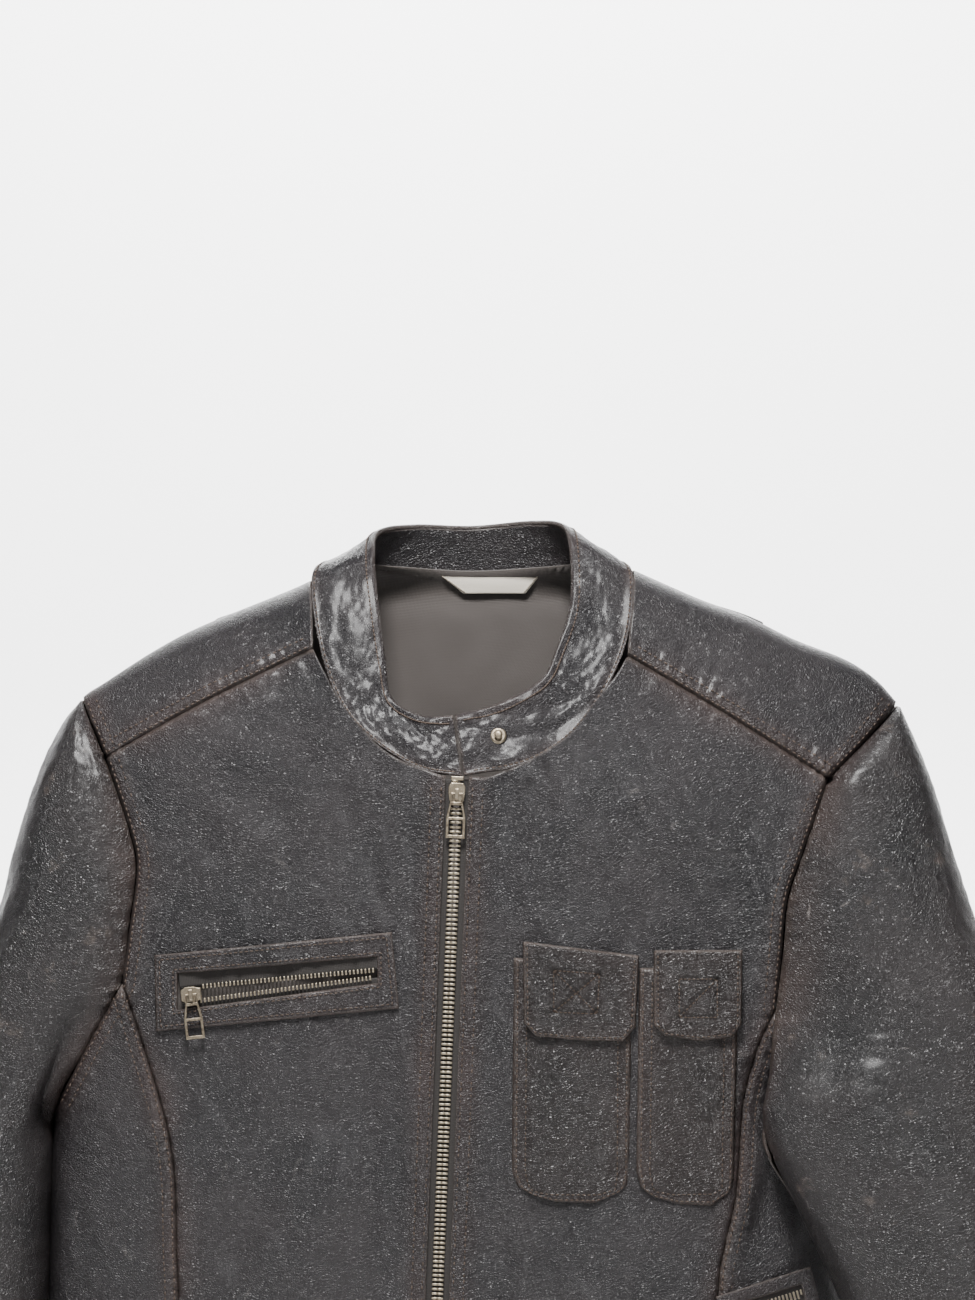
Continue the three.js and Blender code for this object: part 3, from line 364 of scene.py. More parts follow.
# ---- sheets ----
def grid_piece(name, nu, nv, place, thick, material, uv_scale=(1, 1), tint=None):
    """A sheet made on a grid: place(s, t) gives millimetre points for arrays s and t.

    The sheet lies outermost and its wall grows behind it; a negative wall turns it over."""
    bm = bmesh.new()
    bmesh.ops.create_grid(bm, x_segments=nu, y_segments=nv, size=0.5)
    mesh = bpy.data.meshes.new(name)
    bm.to_mesh(mesh)
    bm.free()
    n = len(mesh.vertices)
    flat = np.empty(n * 3)
    mesh.vertices.foreach_get("co", flat)
    flat = flat.reshape(n, 3)
    s, t = flat[:, 0] + 0.5, 0.5 - flat[:, 1]
    p = place(s, t)
    mesh.vertices.foreach_set("co", (p * MM).ravel())
    uv = mesh.uv_layers.new(name="cut")
    loops = np.empty(len(mesh.loops), int)
    mesh.loops.foreach_get("vertex_index", loops)
    uv.data.foreach_set("uv", np.stack([s[loops] * uv_scale[0], t[loops] * uv_scale[1]],
                                       axis=1).ravel())
    if tint is not None:
        values = tint(p, s, t)
        for label, data in values.items():
            layer = mesh.attributes.new(label, "FLOAT", "POINT")
            layer.data.foreach_set("value", data)
    mesh.update()
    mesh.shade_smooth()
    obj = bpy.data.objects.new(name, mesh)
    bpy.context.scene.collection.objects.link(obj)
    obj.data.materials.append(material)
    if thick < 0:
        mesh.flip_normals()
    if thick:
        wall = obj.modifiers.new("wall", "SOLIDIFY")
        wall.thickness = abs(thick) * MM
        wall.offset = -1
        wall.use_even_offset = False
    return obj


def coons(top, bottom, left, right):
    """A flat patch filled in between four edge lines."""
    def at(s, t):
        s1, t1 = s[:, None], t[:, None]
        a = mix(along(top, s), along(bottom, s), t1) + mix(along(left, t), along(right, t), s1)
        return a - mix(mix(top[0], top[-1], s1), mix(bottom[0], bottom[-1], s1), t1)
    return at


def leather_marks(p, s, t):
    """Where the hide is browned by seams and edges."""
    x, z = p[:, 0], p[:, 2]
    seam = np.zeros(len(x))
    front = p[:, 1] < MID_Y
    for key, (path, _) in SEAMS.items():
        d, _, _ = seam_distance(path, x, z)
        seam = np.maximum(seam, np.exp(-(d / 9.0) ** 2) * (front | (key not in FRONT_ONLY)))
    off = np.abs(x - zip_x(z))
    seam = np.maximum(seam, np.exp(-((off - 11) / 7) ** 2) * (z < -110) * front)
    return {"seam": seam}


def shell(name, edges, place, node, step, material="leather", thick=LEATHER, hangs_from=()):
    """A cut piece between four edge lines, laid on the jacket's shape by place."""
    top, bottom, left, right = edges
    at = coons(top, bottom, left, right)
    nu = max(4, round(max(length_of(top), length_of(bottom)) / step))
    nv = max(4, round(max(length_of(left), length_of(right)) / step))

    def points(s, t):
        return place(at(s, t))
    obj = grid_piece(name, nu, nv, points, thick, MATERIAL[material],
                     (length_of(top) * MM, length_of(left) * MM), tint=leather_marks)
    finish_piece(obj, node)
    if hangs_from:
        cloth_sheet(points)
    return obj


def cloth_sheet(points):
    """Measures the size of a cloth piece's cut along the shaped cloth, and does nothing with it."""
    run = np.linspace(0, 1, 60)

    def span(a, b):
        return np.linalg.norm(np.diff(points(a, b), axis=0), axis=1).sum() * MM
    wide = max(span(run, np.full(60, t)) for t in run[::6])
    long = max(span(np.full(60, s), run) for s in run[::6])


def finish_piece(obj, *nodes, body=ROOT):
    """Gives a piece its body, and hides the solids that it stands for."""
    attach(obj, body)
    if nodes:
        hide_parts(*nodes)
    return obj


def on_front(q):
    x, z = q[:, 0], q[:, 1]
    return np.stack([x, front_y(x, z), z], axis=1)


def on_back(q):
    x, z = q[:, 0], q[:, 1]
    return np.stack([x, back_y(x, z), z], axis=1)


# ---- materials ----
class Net:
    """A small helper that adds linked shader nodes to a tree."""

    def __init__(self, tree):
        self.tree = tree

    def add(self, kind, feeds=None, **settings):
        node = self.tree.nodes.new("ShaderNode" + kind)
        for key, value in settings.items():
            setattr(node, key, value)
        for key, value in (feeds or {}).items():
            socket = node.inputs[key]
            if hasattr(value, "is_linked"):
                self.tree.links.new(value, socket)
            else:
                socket.default_value = value
        return node

    def maths(self, op, a, b=0.0, clamp=False):
        return self.add("Math", {0: a, 1: b}, operation=op, use_clamp=clamp).outputs[0]

    def blend(self, factor, a, b, mode="MIX"):
        node = self.add("Mix", {0: factor, 6: a, 7: b}, data_type="RGBA", blend_type=mode)
        return node.outputs[2]

    def span(self, value, low, high, to_low=0.0, to_high=1.0):
        return self.add("MapRange", {0: value, 1: low, 2: high, 3: to_low, 4: to_high}).outputs[0]


def shader_group(name, inputs, outputs):
    tree = bpy.data.node_groups.new(name, "ShaderNodeTree")
    for label, kind, value in inputs:
        socket = tree.interface.new_socket(name=label, in_out="INPUT", socket_type=kind)
        if value is not None:
            socket.default_value = value
    for label, kind in outputs:
        tree.interface.new_socket(name=label, in_out="OUTPUT", socket_type=kind)
    net = Net(tree)
    given, out = tree.nodes.new("NodeGroupInput"), tree.nodes.new("NodeGroupOutput")
    return tree, net, given.outputs, out.inputs


NUM, RGB, VEC = "NodeSocketFloat", "NodeSocketColor", "NodeSocketVector"


def leather_grain():
    """Pebbled hide: height, a mask of the cells' tops, and a slow patchiness."""
    tree, net, given, out = shader_group(
        "hide grain", [("Place", VEC, None), ("Cell size", NUM, 0.0013), ("Strength", NUM, 1.0)],
        [("Height", NUM), ("Tops", NUM), ("Patches", NUM)])
    per_metre = net.maths("DIVIDE", 1.0, given["Cell size"])
    warp = net.add("TexNoise", {"Vector": given["Place"], "Scale": 160.0, "Detail": 2.0})
    shift = net.add("VectorMath", {0: warp.outputs["Color"], 1: (0.5, 0.5, 0.5)},
                    operation="SUBTRACT")
    small = net.add("VectorMath", {0: shift.outputs[0], 3: 0.0022}, operation="SCALE")
    moved = net.add("VectorMath", {0: given["Place"], 1: small.outputs[0]}, operation="ADD")
    cells = net.add("TexVoronoi", {"Vector": moved.outputs[0], "Scale": per_metre},
                    feature="DISTANCE_TO_EDGE")
    tops = net.span(cells.outputs["Distance"], 0.02, 0.28)
    fine = net.add("TexNoise", {"Vector": given["Place"], "Scale": 2600.0, "Detail": 3.0})
    soft = net.add("TexNoise", {"Vector": given["Place"], "Scale": 95.0, "Detail": 5.0,
                                "Roughness": 0.62})
    crease = net.maths("ABSOLUTE", net.maths("SUBTRACT", soft.outputs["Fac"], 0.5))
    lines = net.span(crease, 0.0, 0.03, 0.0, 1.0)
    height = net.maths("ADD", net.maths("MULTIPLY", tops, 0.6),
                       net.maths("MULTIPLY", fine.outputs["Fac"], 0.25))
    height = net.maths("ADD", height, net.maths("MULTIPLY", lines, 0.5))
    net.tree.links.new(net.maths("MULTIPLY", height, given["Strength"]), out["Height"])
    net.tree.links.new(tops, out["Tops"])
    patch = net.add("TexNoise", {"Vector": given["Place"], "Scale": 17.0, "Detail": 6.0,
                                 "Roughness": 0.6})
    net.tree.links.new(patch.outputs["Fac"], out["Patches"])
    return tree


def worn_patches():
    """Scuffs and fine scratches: a mask of rubbed places."""
    tree, net, given, out = shader_group(
        "rubbed places", [("Place", VEC, None), ("Amount", NUM, 0.3)],
        [("Scuffs", NUM), ("Scratches", NUM)])
    spots = net.add("TexNoise", {"Vector": given["Place"], "Scale": 42.0, "Detail": 8.0,
                                 "Roughness": 0.72})
    edge = net.maths("SUBTRACT", 0.78, net.maths("MULTIPLY", given["Amount"], 0.22))
    scuffs = net.span(spots.outputs["Fac"], edge, net.maths("ADD", edge, 0.09))
    turned = net.add("Mapping", {"Vector": given["Place"], "Rotation": (0.3, 0.5, 0.9),
                                 "Scale": (1.0, 14.0, 1.0)})
    marks = net.add("TexNoise", {"Vector": turned.outputs[0], "Scale": 46.0, "Detail": 4.0,
                                 "Roughness": 0.6})
    lines = net.span(marks.outputs["Fac"], 0.68, 0.74)
    net.tree.links.new(scuffs, out["Scuffs"])
    net.tree.links.new(net.maths("MULTIPLY", lines, given["Amount"]), out["Scratches"])
    return tree


def weave():
    """A plain weave: height and a mask of the threads' tops."""
    tree, net, given, out = shader_group(
        "plain weave", [("Place", VEC, None), ("Threads per metre", NUM, 1600.0),
                        ("Slub", NUM, 0.3)],
        [("Height", NUM), ("Tone", NUM)])
    parts = net.add("SeparateXYZ", {0: given["Place"]})
    scale = net.maths("MULTIPLY", given["Threads per metre"], math.pi)
    warp = net.maths("SINE", net.maths("MULTIPLY", parts.outputs[0], scale))
    weft = net.maths("SINE", net.maths("MULTIPLY", parts.outputs[1], scale))
    both = net.maths("MULTIPLY", warp, weft)
    height = net.maths("ABSOLUTE", both)
    slub = net.add("TexNoise", {"Vector": given["Place"], "Scale": 900.0, "Detail": 3.0})
    tone = net.maths("MULTIPLY", net.maths("SUBTRACT", slub.outputs["Fac"], 0.5), given["Slub"])
    net.tree.links.new(height, out["Height"])
    net.tree.links.new(net.maths("ADD", net.maths("ADD", tone, 0.5),
                                 net.maths("MULTIPLY", both, 0.22)), out["Tone"])
    return tree


def aged_metal():
    """Dark patina with rubbed tops: tone, roughness and height."""
    tree, net, given, out = shader_group(
        "aged metal", [("Place", VEC, None), ("Wear", NUM, 0.5)],
        [("Patina", NUM), ("Roughness", NUM), ("Height", NUM)])
    big = net.add("TexNoise", {"Vector": given["Place"], "Scale": 420.0, "Detail": 6.0,
                               "Roughness": 0.7})
    pits = net.add("TexNoise", {"Vector": given["Place"], "Scale": 2400.0, "Detail": 3.0})
    limit = net.maths("MULTIPLY", given["Wear"], 0.5)
    patina = net.span(big.outputs["Fac"], net.maths("ADD", limit, 0.12),
                      net.maths("ADD", limit, 0.42))
    net.tree.links.new(patina, out["Patina"])
    net.tree.links.new(net.maths("ADD", net.maths("MULTIPLY", patina, 0.28),
                                 net.maths("MULTIPLY", pits.outputs["Fac"], 0.35)),
                       out["Roughness"])
    net.tree.links.new(net.maths("ADD", pits.outputs["Fac"], big.outputs["Fac"]), out["Height"])
    return tree


GROUPS = {"grain": leather_grain(), "rubbed": worn_patches(), "weave": weave(),
          "metal": aged_metal()}


def new_material(name):
    mat = bpy.data.materials.new(name)
    mat.use_nodes = True
    mat.node_tree.nodes.clear()
    net = Net(mat.node_tree)
    shader = net.add("BsdfPrincipled")
    end = net.add("OutputMaterial")
    net.tree.links.new(shader.outputs[0], end.inputs[0])
    place = net.add("TexCoord")
    return mat, net, shader, place


def use_group(net, key, feeds):
    node = net.tree.nodes.new("ShaderNodeGroup")
    node.node_tree = GROUPS[key]
    for label, value in feeds.items():
        if hasattr(value, "is_linked"):
            net.tree.links.new(value, node.inputs[label])
        else:
            node.inputs[label].default_value = value
    return node.outputs


def leather_material(name, dark, light, brown, rough=0.4, worn=0.3, cell=0.0013):
    mat, net, shader, place = new_material(name)
    where = place.outputs["Object"]
    grain = use_group(net, "grain", {"Place": where, "Cell size": cell})
    rubbed = use_group(net, "rubbed", {"Place": where, "Amount": worn})
    seam = net.add("Attribute", attribute_name="seam").outputs["Fac"]
    tone = net.blend(net.span(grain["Patches"], 0.32, 0.68), dark, light)
    tan = net.maths("MULTIPLY", net.span(grain["Patches"], 0.35, 0.62, 0.25, 1.0),
                    net.maths("ADD", net.maths("MULTIPLY", seam, 0.75), 0.18), clamp=True)
    tone = net.blend(tan, tone, brown)
    bevel = net.add("NewGeometry").outputs["Pointiness"]
    edges = net.span(bevel, 0.53, 0.62, 0.0, 0.35)
    paler = net.maths("MAXIMUM", net.maths("MULTIPLY", rubbed["Scuffs"], 0.35), edges)
    tone = net.blend(paler, tone, (0.16, 0.125, 0.105, 1))
    tone = net.blend(net.maths("MULTIPLY", rubbed["Scratches"], 0.8), tone, (0.2, 0.18, 0.17, 1))
    net.tree.links.new(tone, shader.inputs["Base Color"])
    roughness = net.maths("ADD", net.span(grain["Patches"], 0.3, 0.7, rough - 0.07, rough + 0.1),
                          net.maths("MULTIPLY", paler, 0.25))
    net.tree.links.new(roughness, shader.inputs["Roughness"])
    shader.inputs["Specular IOR Level"].default_value = 0.5
    shader.inputs["Coat Weight"].default_value = 0.12
    shader.inputs["Coat Roughness"].default_value = 0.22
    bump = net.add("Bump", {"Height": grain["Height"], "Strength": 0.9, "Distance": 0.0006})
    net.tree.links.new(bump.outputs[0], shader.inputs["Normal"])
    return mat


def cloth_material(name, dark, light, threads=1500.0, rough=0.85, sheen=0.25, depth=0.00018):
    mat, net, shader, place = new_material(name)
    where = net.add("UVMap", uv_map="cut").outputs[0]
    woven = use_group(net, "weave", {"Place": where, "Threads per metre": threads})
    net.tree.links.new(net.blend(woven["Tone"], dark, light), shader.inputs["Base Color"])
    shader.inputs["Roughness"].default_value = rough
    shader.inputs["Sheen Weight"].default_value = sheen
    bump = net.add("Bump", {"Height": woven["Height"], "Strength": 0.6, "Distance": depth})
    net.tree.links.new(bump.outputs[0], shader.inputs["Normal"])
    return mat


def metal_material(name, bright, dark, wear=0.5):
    mat, net, shader, place = new_material(name)
    aged = use_group(net, "metal", {"Place": place.outputs["Object"], "Wear": wear})
    ridge = net.add("NewGeometry").outputs["Pointiness"]
    rubbed = net.span(ridge, 0.52, 0.6)
    patina = net.maths("MULTIPLY", aged["Patina"], net.maths("SUBTRACT", 1.0, rubbed))
    net.tree.links.new(net.blend(patina, bright, dark), shader.inputs["Base Color"])
    shader.inputs["Metallic"].default_value = 1.0
    rough = net.maths("SUBTRACT", net.maths("ADD", aged["Roughness"], 0.16),
                      net.maths("MULTIPLY", rubbed, 0.08))
    net.tree.links.new(rough, shader.inputs["Roughness"])
    bump = net.add("Bump", {"Height": aged["Height"], "Strength": 0.35, "Distance": 0.0001})
    net.tree.links.new(bump.outputs[0], shader.inputs["Normal"])
    return mat


def thread_material(name, dark, light):
    mat, net, shader, place = new_material(name)
    fuzz = net.add("TexNoise", {"Vector": place.outputs["Object"], "Scale": 1800.0, "Detail": 2.0})
    net.tree.links.new(net.blend(fuzz.outputs["Fac"], dark, light), shader.inputs["Base Color"])
    shader.inputs["Roughness"].default_value = 0.7
    bump = net.add("Bump", {"Height": fuzz.outputs["Fac"], "Strength": 0.4, "Distance": 0.0001})
    net.tree.links.new(bump.outputs[0], shader.inputs["Normal"])
    return mat


MATERIAL = {
    "leather": leather_material("leather", (0.0075, 0.007, 0.0085, 1), (0.015, 0.0135, 0.0155, 1),
                                (0.026, 0.0155, 0.0145, 1)),
    "sleeve": leather_material("sleeve leather", (0.0065, 0.0062, 0.007, 1),
                               (0.014, 0.0125, 0.0135, 1), (0.027, 0.0165, 0.0145, 1), 0.36, 0.75),
    "trim": leather_material("trim leather", (0.006, 0.0048, 0.005, 1), (0.012, 0.009, 0.009, 1),
                             (0.019, 0.0115, 0.0105, 1), 0.31, 0.5),
    "lining": cloth_material("lining cloth", (0.030, 0.024, 0.021, 1), (0.062, 0.051, 0.045, 1),
                             1300.0, 0.62, 0.4),
    "tape": cloth_material("zip tape", (0.009, 0.008, 0.008, 1), (0.026, 0.021, 0.018, 1), 1100.0),
    "label": cloth_material("woven label", (0.55, 0.5, 0.42, 1), (0.74, 0.69, 0.6, 1), 1700.0,
                            0.8, 0.3),
    "brass": metal_material("aged brass", (0.42, 0.36, 0.27, 1), (0.075, 0.055, 0.038, 1), 0.45),
    "teeth": metal_material("zip teeth metal", (0.38, 0.33, 0.25, 1), (0.06, 0.045, 0.032, 1), 0.4),
    "thread": thread_material("brown thread", (0.03, 0.02, 0.015, 1), (0.11, 0.075, 0.055, 1)),
    "pale_thread": thread_material("label thread", (0.3, 0.26, 0.2, 1), (0.45, 0.4, 0.33, 1)),
}


# ---- torso ----
def polygon_hole(obj, corners):
    """Takes out the faces whose middle lies inside an (x, z) outline with straight sides."""
    bm = bmesh.new()
    bm.from_mesh(obj.data)
    gone = []
    for face in bm.faces:
        c = face.calc_center_median() / MM
        inside = all((x1 - x0) * (c.z - z0) - (z1 - z0) * (c.x - x0) > 0 for (x0, z0), (x1, z1)
                     in zip(corners, corners[1:] + corners[:1]))
        if inside:
            gone.append(face)
    bmesh.ops.delete(bm, geom=gone, context="FACES")
    bm.to_mesh(obj.data)
    bm.free()


def front_panels():
    inner_r, inner_l = zip_x(HEM_Z) - TAPE_HALF, zip_x(HEM_Z) + TAPE_HALF
    top_r = joined(YOKE_R[::-1], NECK_R + [(ZIP_TOP[0] - TAPE_HALF, -112)])
    right = shell("front_right_leather", (
        top_r, spline([(-174, HEM_Z), (inner_r, HEM_Z)]), joined(ARM_R, PRINCESS_R),
        spline([(ZIP_TOP[0] - TAPE_HALF, -112), (inner_r, HEM_Z)])), on_front,
        "front_panel_right", 2.2)
    polygon_hole(right, [(-176, -243.7), (-59, -228.7), (-59, -208.7), (-176, -218.5)])
    top_l = joined([(ZIP_TOP[0] + TAPE_HALF, -112.5)] + NECK_L, YOKE_L)
    shell("front_left_leather", (
        top_l, spline([(inner_l, HEM_Z), (124, HEM_Z)]),
        spline([(ZIP_TOP[0] + TAPE_HALF, -112.5), (inner_l, HEM_Z)]),
        joined(ARM_L, PRINCESS_L)), on_front, "front_panel_left", 2.2)


def side_angle(x, z, in_front):
    u = np.clip(np.abs(x - CENTRE_X) / half_width(x, z), 0, 1)
    a = np.arcsin(u ** (SQUARE / 2))
    return a if in_front else math.pi - a


def side_panel(name, side, princess, pit, node):
    """Runs round the side; its line points are (angle * 90, z)."""
    def turned(points, in_front):
        p = np.array(points, float)
        return np.stack([side_angle(p[:, 0], p[:, 1], in_front) * 90, p[:, 1]], axis=1)
    seam, rim = spline(princess), spline(pit)
    low = np.array([[math.pi / 2 * 90, pit[-1][1]]])
    top = np.vstack([turned(rim, True)[:-1], low, turned(rim[::-1], False)[1:]])
    edges = (even(top, 240), spline([turned(seam[-1:], True)[0], turned(seam[-1:], False)[0]]),
             turned(seam, True), turned(seam, False))

    def place(q):
        a, z = q[:, 0] / 90, q[:, 1]
        half = half_width(np.full(a.shape, CENTRE_X + side), z)
        x = CENTRE_X + side * half * np.abs(np.sin(a)) ** (2 / SQUARE)
        y = np.where(a < math.pi / 2, front_y(x, z), back_y(x, z))
        return np.stack([x, y, z], axis=1)
    shell(name, edges, place, node, 2.1, thick=LEATHER if side > 0 else -LEATHER)


def back_panels():
    mid = BACK_MID_X
    shell("back_right_leather", (
        spline([(-213, -102.6), (-112, -99.5), (mid, -97.2)]), spline([(-174, HEM_Z), (mid, HEM_Z)]),
        joined(ARM_R, PRINCESS_R), spline([(mid, -97.2), (mid, HEM_Z)])), on_back,
        "back_panel_right", 3.2, thick=-LEATHER)
    shell("back_left_leather", (
        spline([(mid, -97.2), (88, -106), (187, -114)]), spline([(mid, HEM_Z), (124, HEM_Z)]),
        spline([(mid, -97.2), (mid, HEM_Z)]), joined(ARM_L, PRINCESS_L)), on_back,
        "back_panel_left", 3.2, thick=-LEATHER)


def wrap_q(x, z, in_front):
    h = np.maximum(0, ridge_z(x) - z) / (FRONT_FALL if in_front else YOKE_BACK_FALL)
    a = np.where(h < 1, np.arccos(np.clip(1 - h, -1, 1)), h - 1 + math.pi / 2)
    return a if in_front else -a


def over_ridge(p):
    """Over the shoulder: the second number is 100 times the turn past the ridge, + in front."""
    x, q = p[:, 0], p[:, 1] / 100
    fall = np.where(q > 0, FRONT_FALL, YOKE_BACK_FALL)
    a = np.abs(q)
    z = ridge_z(x) - np.where(a < math.pi / 2, fall * (1 - np.cos(a)), fall * (1 + a - math.pi / 2))
    return np.stack([x, np.where(q > 0, front_y(x, z), back_y(x, z)), z], axis=1)


def yoke(name, side, front_seam, cap, neck_side, node):
    """From the front seam over the shoulder to the back seam, neck to armhole."""
    def q(points, in_front):
        p = np.array(points, float)
        return np.stack([p[:, 0], wrap_q(p[:, 0], p[:, 1], in_front) * 100], axis=1)
    corner, arm_end = front_seam[0], front_seam[-1]
    neck = np.vstack([q([corner, (neck_side[0] - side * 2, -18)], True), [[neck_side[0], 0]],
                      q(neck_side[1:] + [(BACK_MID_X, z) for z in (-3.5, -50, -96)], False)])
    near = spline([arm_end] + cap[:-1])
    arm = np.vstack([q(near, True), [[cap[-1][0], 0]], q(near[::-1], False)])
    front = q(spline(front_seam), True)
    back = q(spline([(BACK_MID_X, -96), arm_end]), False)
    if side < 0:
        edges = (front[::-1], back[::-1], even(arm, 240), even(neck, 240))
    else:
        edges = (front, back, even(neck, 240), even(arm, 240))
    shell(name, edges, over_ridge, node, 2.6, thick=-LEATHER)


# ---- sleeves ----
# Each row: front armhole point, back armhole point, outer edge point, all (x, z).
ROWS_R = [
    (-227, -71, -227, -71, -229, -72), (-221, -84, -221, -84, -237, -82),
    (-213.5, -102, -213.5, -102, -247, -103), (-206, -122, -206, -122, -257, -131),
    (-199.5, -142, -199.5, -142, -265, -158), (-195.5, -164, -195.5, -164, -270, -180),
    (-199.5, -197, -199.5, -197, -282, -214), (-204, -227, -204, -227, -292, -248),
    (-223, -264, -223, -264, -303, -283), (-240, -297, -240, -297, -312, -318),
    (-244, -350, -244, -350, -326, -360), (-245.6, -410, -245.6, -410, -338, -415),
    (-247.6, -480, -247.6, -480, -350, -480), (-254, -560, -254, -560, -360, -560),
    (-266, -640, -266, -640, -366, -640)]
ROWS_L = [
    (227, -74, 227, -74, 229, -75), (209, -92, 209, -92, 236, -91),
    (187.5, -114, 187.5, -114, 243, -110), (180, -133, 180, -133, 250, -131),
    (173.5, -153, 173.5, -153, 258, -158), (164.5, -180, 164.5, -180, 267, -189),
    (161.5, -208, 161.5, -208, 277, -220), (157, -242, 162, -242, 287, -252),
    (153, -272, 190, -272, 294, -282), (150, -307, 150, -307, 301, -307),
    (169, -350, 169, -350, 311, -350), (194, -405, 194, -405, 324, -400),
    (220, -480, 220, -480, 337, -470), (243, -560, 243, -560, 350, -550),
    (264, -640, 264, -640, 358, -632)]


def arm_forward(side, z):
    """How far an arm's middle line hangs off the mid plane, - to the front."""
    return np.full(len(z), -4.0) if side < 0 else -mix(62, 14, smooth(-430, -640, z))


def sleeve_point(side, g, k):
    """g runs 0 to 1 over the front from armhole to outer edge, 1 to 2 over the back."""
    c = catmull(ROWS_R if side < 0 else ROWS_L, k)
    w = smooth(-215, -302, c[:, 1])
    if side < 0:
        depth = np.interp(-c[:, 1], [200, 320, 450, 640], [50, 54, 50, 36])
        forward = arm_forward(side, c[:, 1]) * w
    else:
        depth = np.interp(-c[:, 1], [200, 307, 400, 480, 640], [40, 33, 38, 44, 36])
        forward = arm_forward(side, c[:, 1])
    lead = smooth(-130, -310, c[:, 5])
    in_front = g <= 1
    h = np.where(in_front, g, 2 - g)
    ix = np.where(in_front, c[:, 0], c[:, 2])
    iz = np.where(in_front, c[:, 1], c[:, 3])
    plain = np.where(in_front, front_y(ix, iz, False), back_y(ix, iz, False))
    relief = np.where(in_front, front_y(ix, iz), back_y(ix, iz)) - plain
    surface = plain + relief * np.exp(-(h / 0.05) ** 2)
    closing = np.exp(-(h / 0.16) ** 2) * (side < 0)
    w = mix(w, smooth(8.9, 9.5, k), closing)
    psi = h * math.pi / 2
    cap_s = np.maximum(np.sin(psi), 0) ** 0.85
    cap_d = np.abs(surface - MID_Y) * np.maximum(np.cos(psi), 0) ** 0.7 + 7 * np.sin(psi * 2)
    tube_s = (1 - np.cos(h * math.pi)) / 2
    tube_d = depth * np.maximum(0, np.sin(h * math.pi)) ** 0.85 + 0.5
    s = mix(cap_s, tube_s, w)
    shift = forward * mix(w, np.maximum(w, lead), s)
    y = MID_Y + shift + np.where(in_front, -1, 1) * mix(cap_d + 0.2, tube_d, w)
    return np.stack([mix(ix, c[:, 4], s), y, mix(iz, c[:, 5], s)], axis=1)


def lifted(at, s, t, height, turn=1.0, e=0.002):
    """Points of at(s, t) moved along the surface's normal."""
    p = at(s, t)
    a = at(np.minimum(1, s + e), t) - at(np.maximum(0, s - e), t)
    b = at(s, np.minimum(1, t + e)) - at(s, np.maximum(0, t - e))
    n = np.cross(a, b)
    n = n / np.maximum(np.linalg.norm(n, axis=1), 1e-9)[:, None]
    return p + n * (turn * height)[:, None]


def sleeve_height(side, g, k):
    """Folds of a worn sleeve: drag lines from the pit, elbow wrinkles, slow sag."""
    seed = 60 if side < 0 else 80
    h = np.minimum(g, 2 - g)
    slow = 1.8 * noise(g * 2.6, k * 0.3, seed) + 1.0 * noise(g * 5.3, k * 0.45, seed + 1)
    tilt = k * 1.2 + 2.6 * h
    wrinkle = noise(g * 2.6 + 0.8 * noise(k * 0.5, g, seed + 2), tilt * 1.1, seed + 3)
    wrinkle = wrinkle + 0.5 * noise(g * 5.0, tilt * 2.1, seed + 4)
    drag = noise(h * 8 - k * 0.75, k * 0.35, seed + 5) * np.exp(-((k - 7.5) / 2.8) ** 2)
    total = slow + 1.5 * wrinkle * smooth(9.5, 12.5, k) + 1.5 * drag
    total = total + 0.22 * noise(g * 17, k * 6, seed + 6) + 0.12 * noise(g * 34, k * 13, seed + 7)
    seam = smooth(0.0, 0.12, h)
    valley = -1.3 * np.exp(-(h / 0.016) ** 2) * (k < 9.4)
    crease = 1.3 * np.exp(-((h - 0.92) / 0.03) ** 2) * smooth(4, 8, k) * (g < 1)
    return total * seam * smooth(0, 2.2, k) + valley + crease * 0.5


def sleeve(side, label):
    rows = ROWS_R if side < 0 else ROWS_L
    last = len(rows) - 1
    cuff = last - 0.5

    def part(name, k0, k1, nu, nv, node, extra=0.0, thick=LEATHER):
        def at(s, t):
            return sleeve_point(side, s * 2, mix(k0, k1, t))

        def place(s, t):
            g, k = s * 2, mix(k0, k1, t)
            return lifted(at, s, t, sleeve_height(side, g, k) + extra, -side)

        def tint(p, s, t):
            k, h = mix(k0, k1, t), np.minimum(s * 2, 2 - s * 2)
            mark = np.exp(-(h / 0.09) ** 2) * (k < 9.4) + 0.5 * np.exp(-((h - 1) / 0.25) ** 2)
            return {"seam": np.clip(mark + 0.25 * smooth(9, 13, k), 0, 1)}
        obj = grid_piece(name, nu, nv, place, thick * side, MATERIAL["sleeve"], (0.3, 0.5),
                         tint=tint)
        return finish_piece(obj, node)
    part(f"sleeve_{label}_leather", 0, cuff - 0.02, 110, 200, f"sleeve_{label}")
    part(f"cuff_{label}_leather", cuff, last, 110, 16, f"cuff_{label}", 0.7)

    def inside(s, t):
        g, k = mix(0.14, 1.86, s), mix(8.6, last - 0.1, t)
        p = sleeve_point(side, g, k)
        c = catmull(rows, k)
        hub = np.stack([(c[:, 0] + c[:, 4]) / 2, MID_Y + arm_forward(side, c[:, 1]), p[:, 2]], axis=1)
        away = np.linalg.norm(p - hub, axis=1)
        deep = mix(7, 2.6, smooth(last - 1.2, last - 0.1, k)) + 1.2 * noise(g * 5, k * 2, 91)
        return p + (hub - p) * (deep / away)[:, None]
    obj = grid_piece(f"sleeve_{label}_lining", 80, 70, inside, 0.6 * side, MATERIAL["lining"],
                     (0.3, 0.36))
    finish_piece(obj, f"sleeve_lining_{label}")


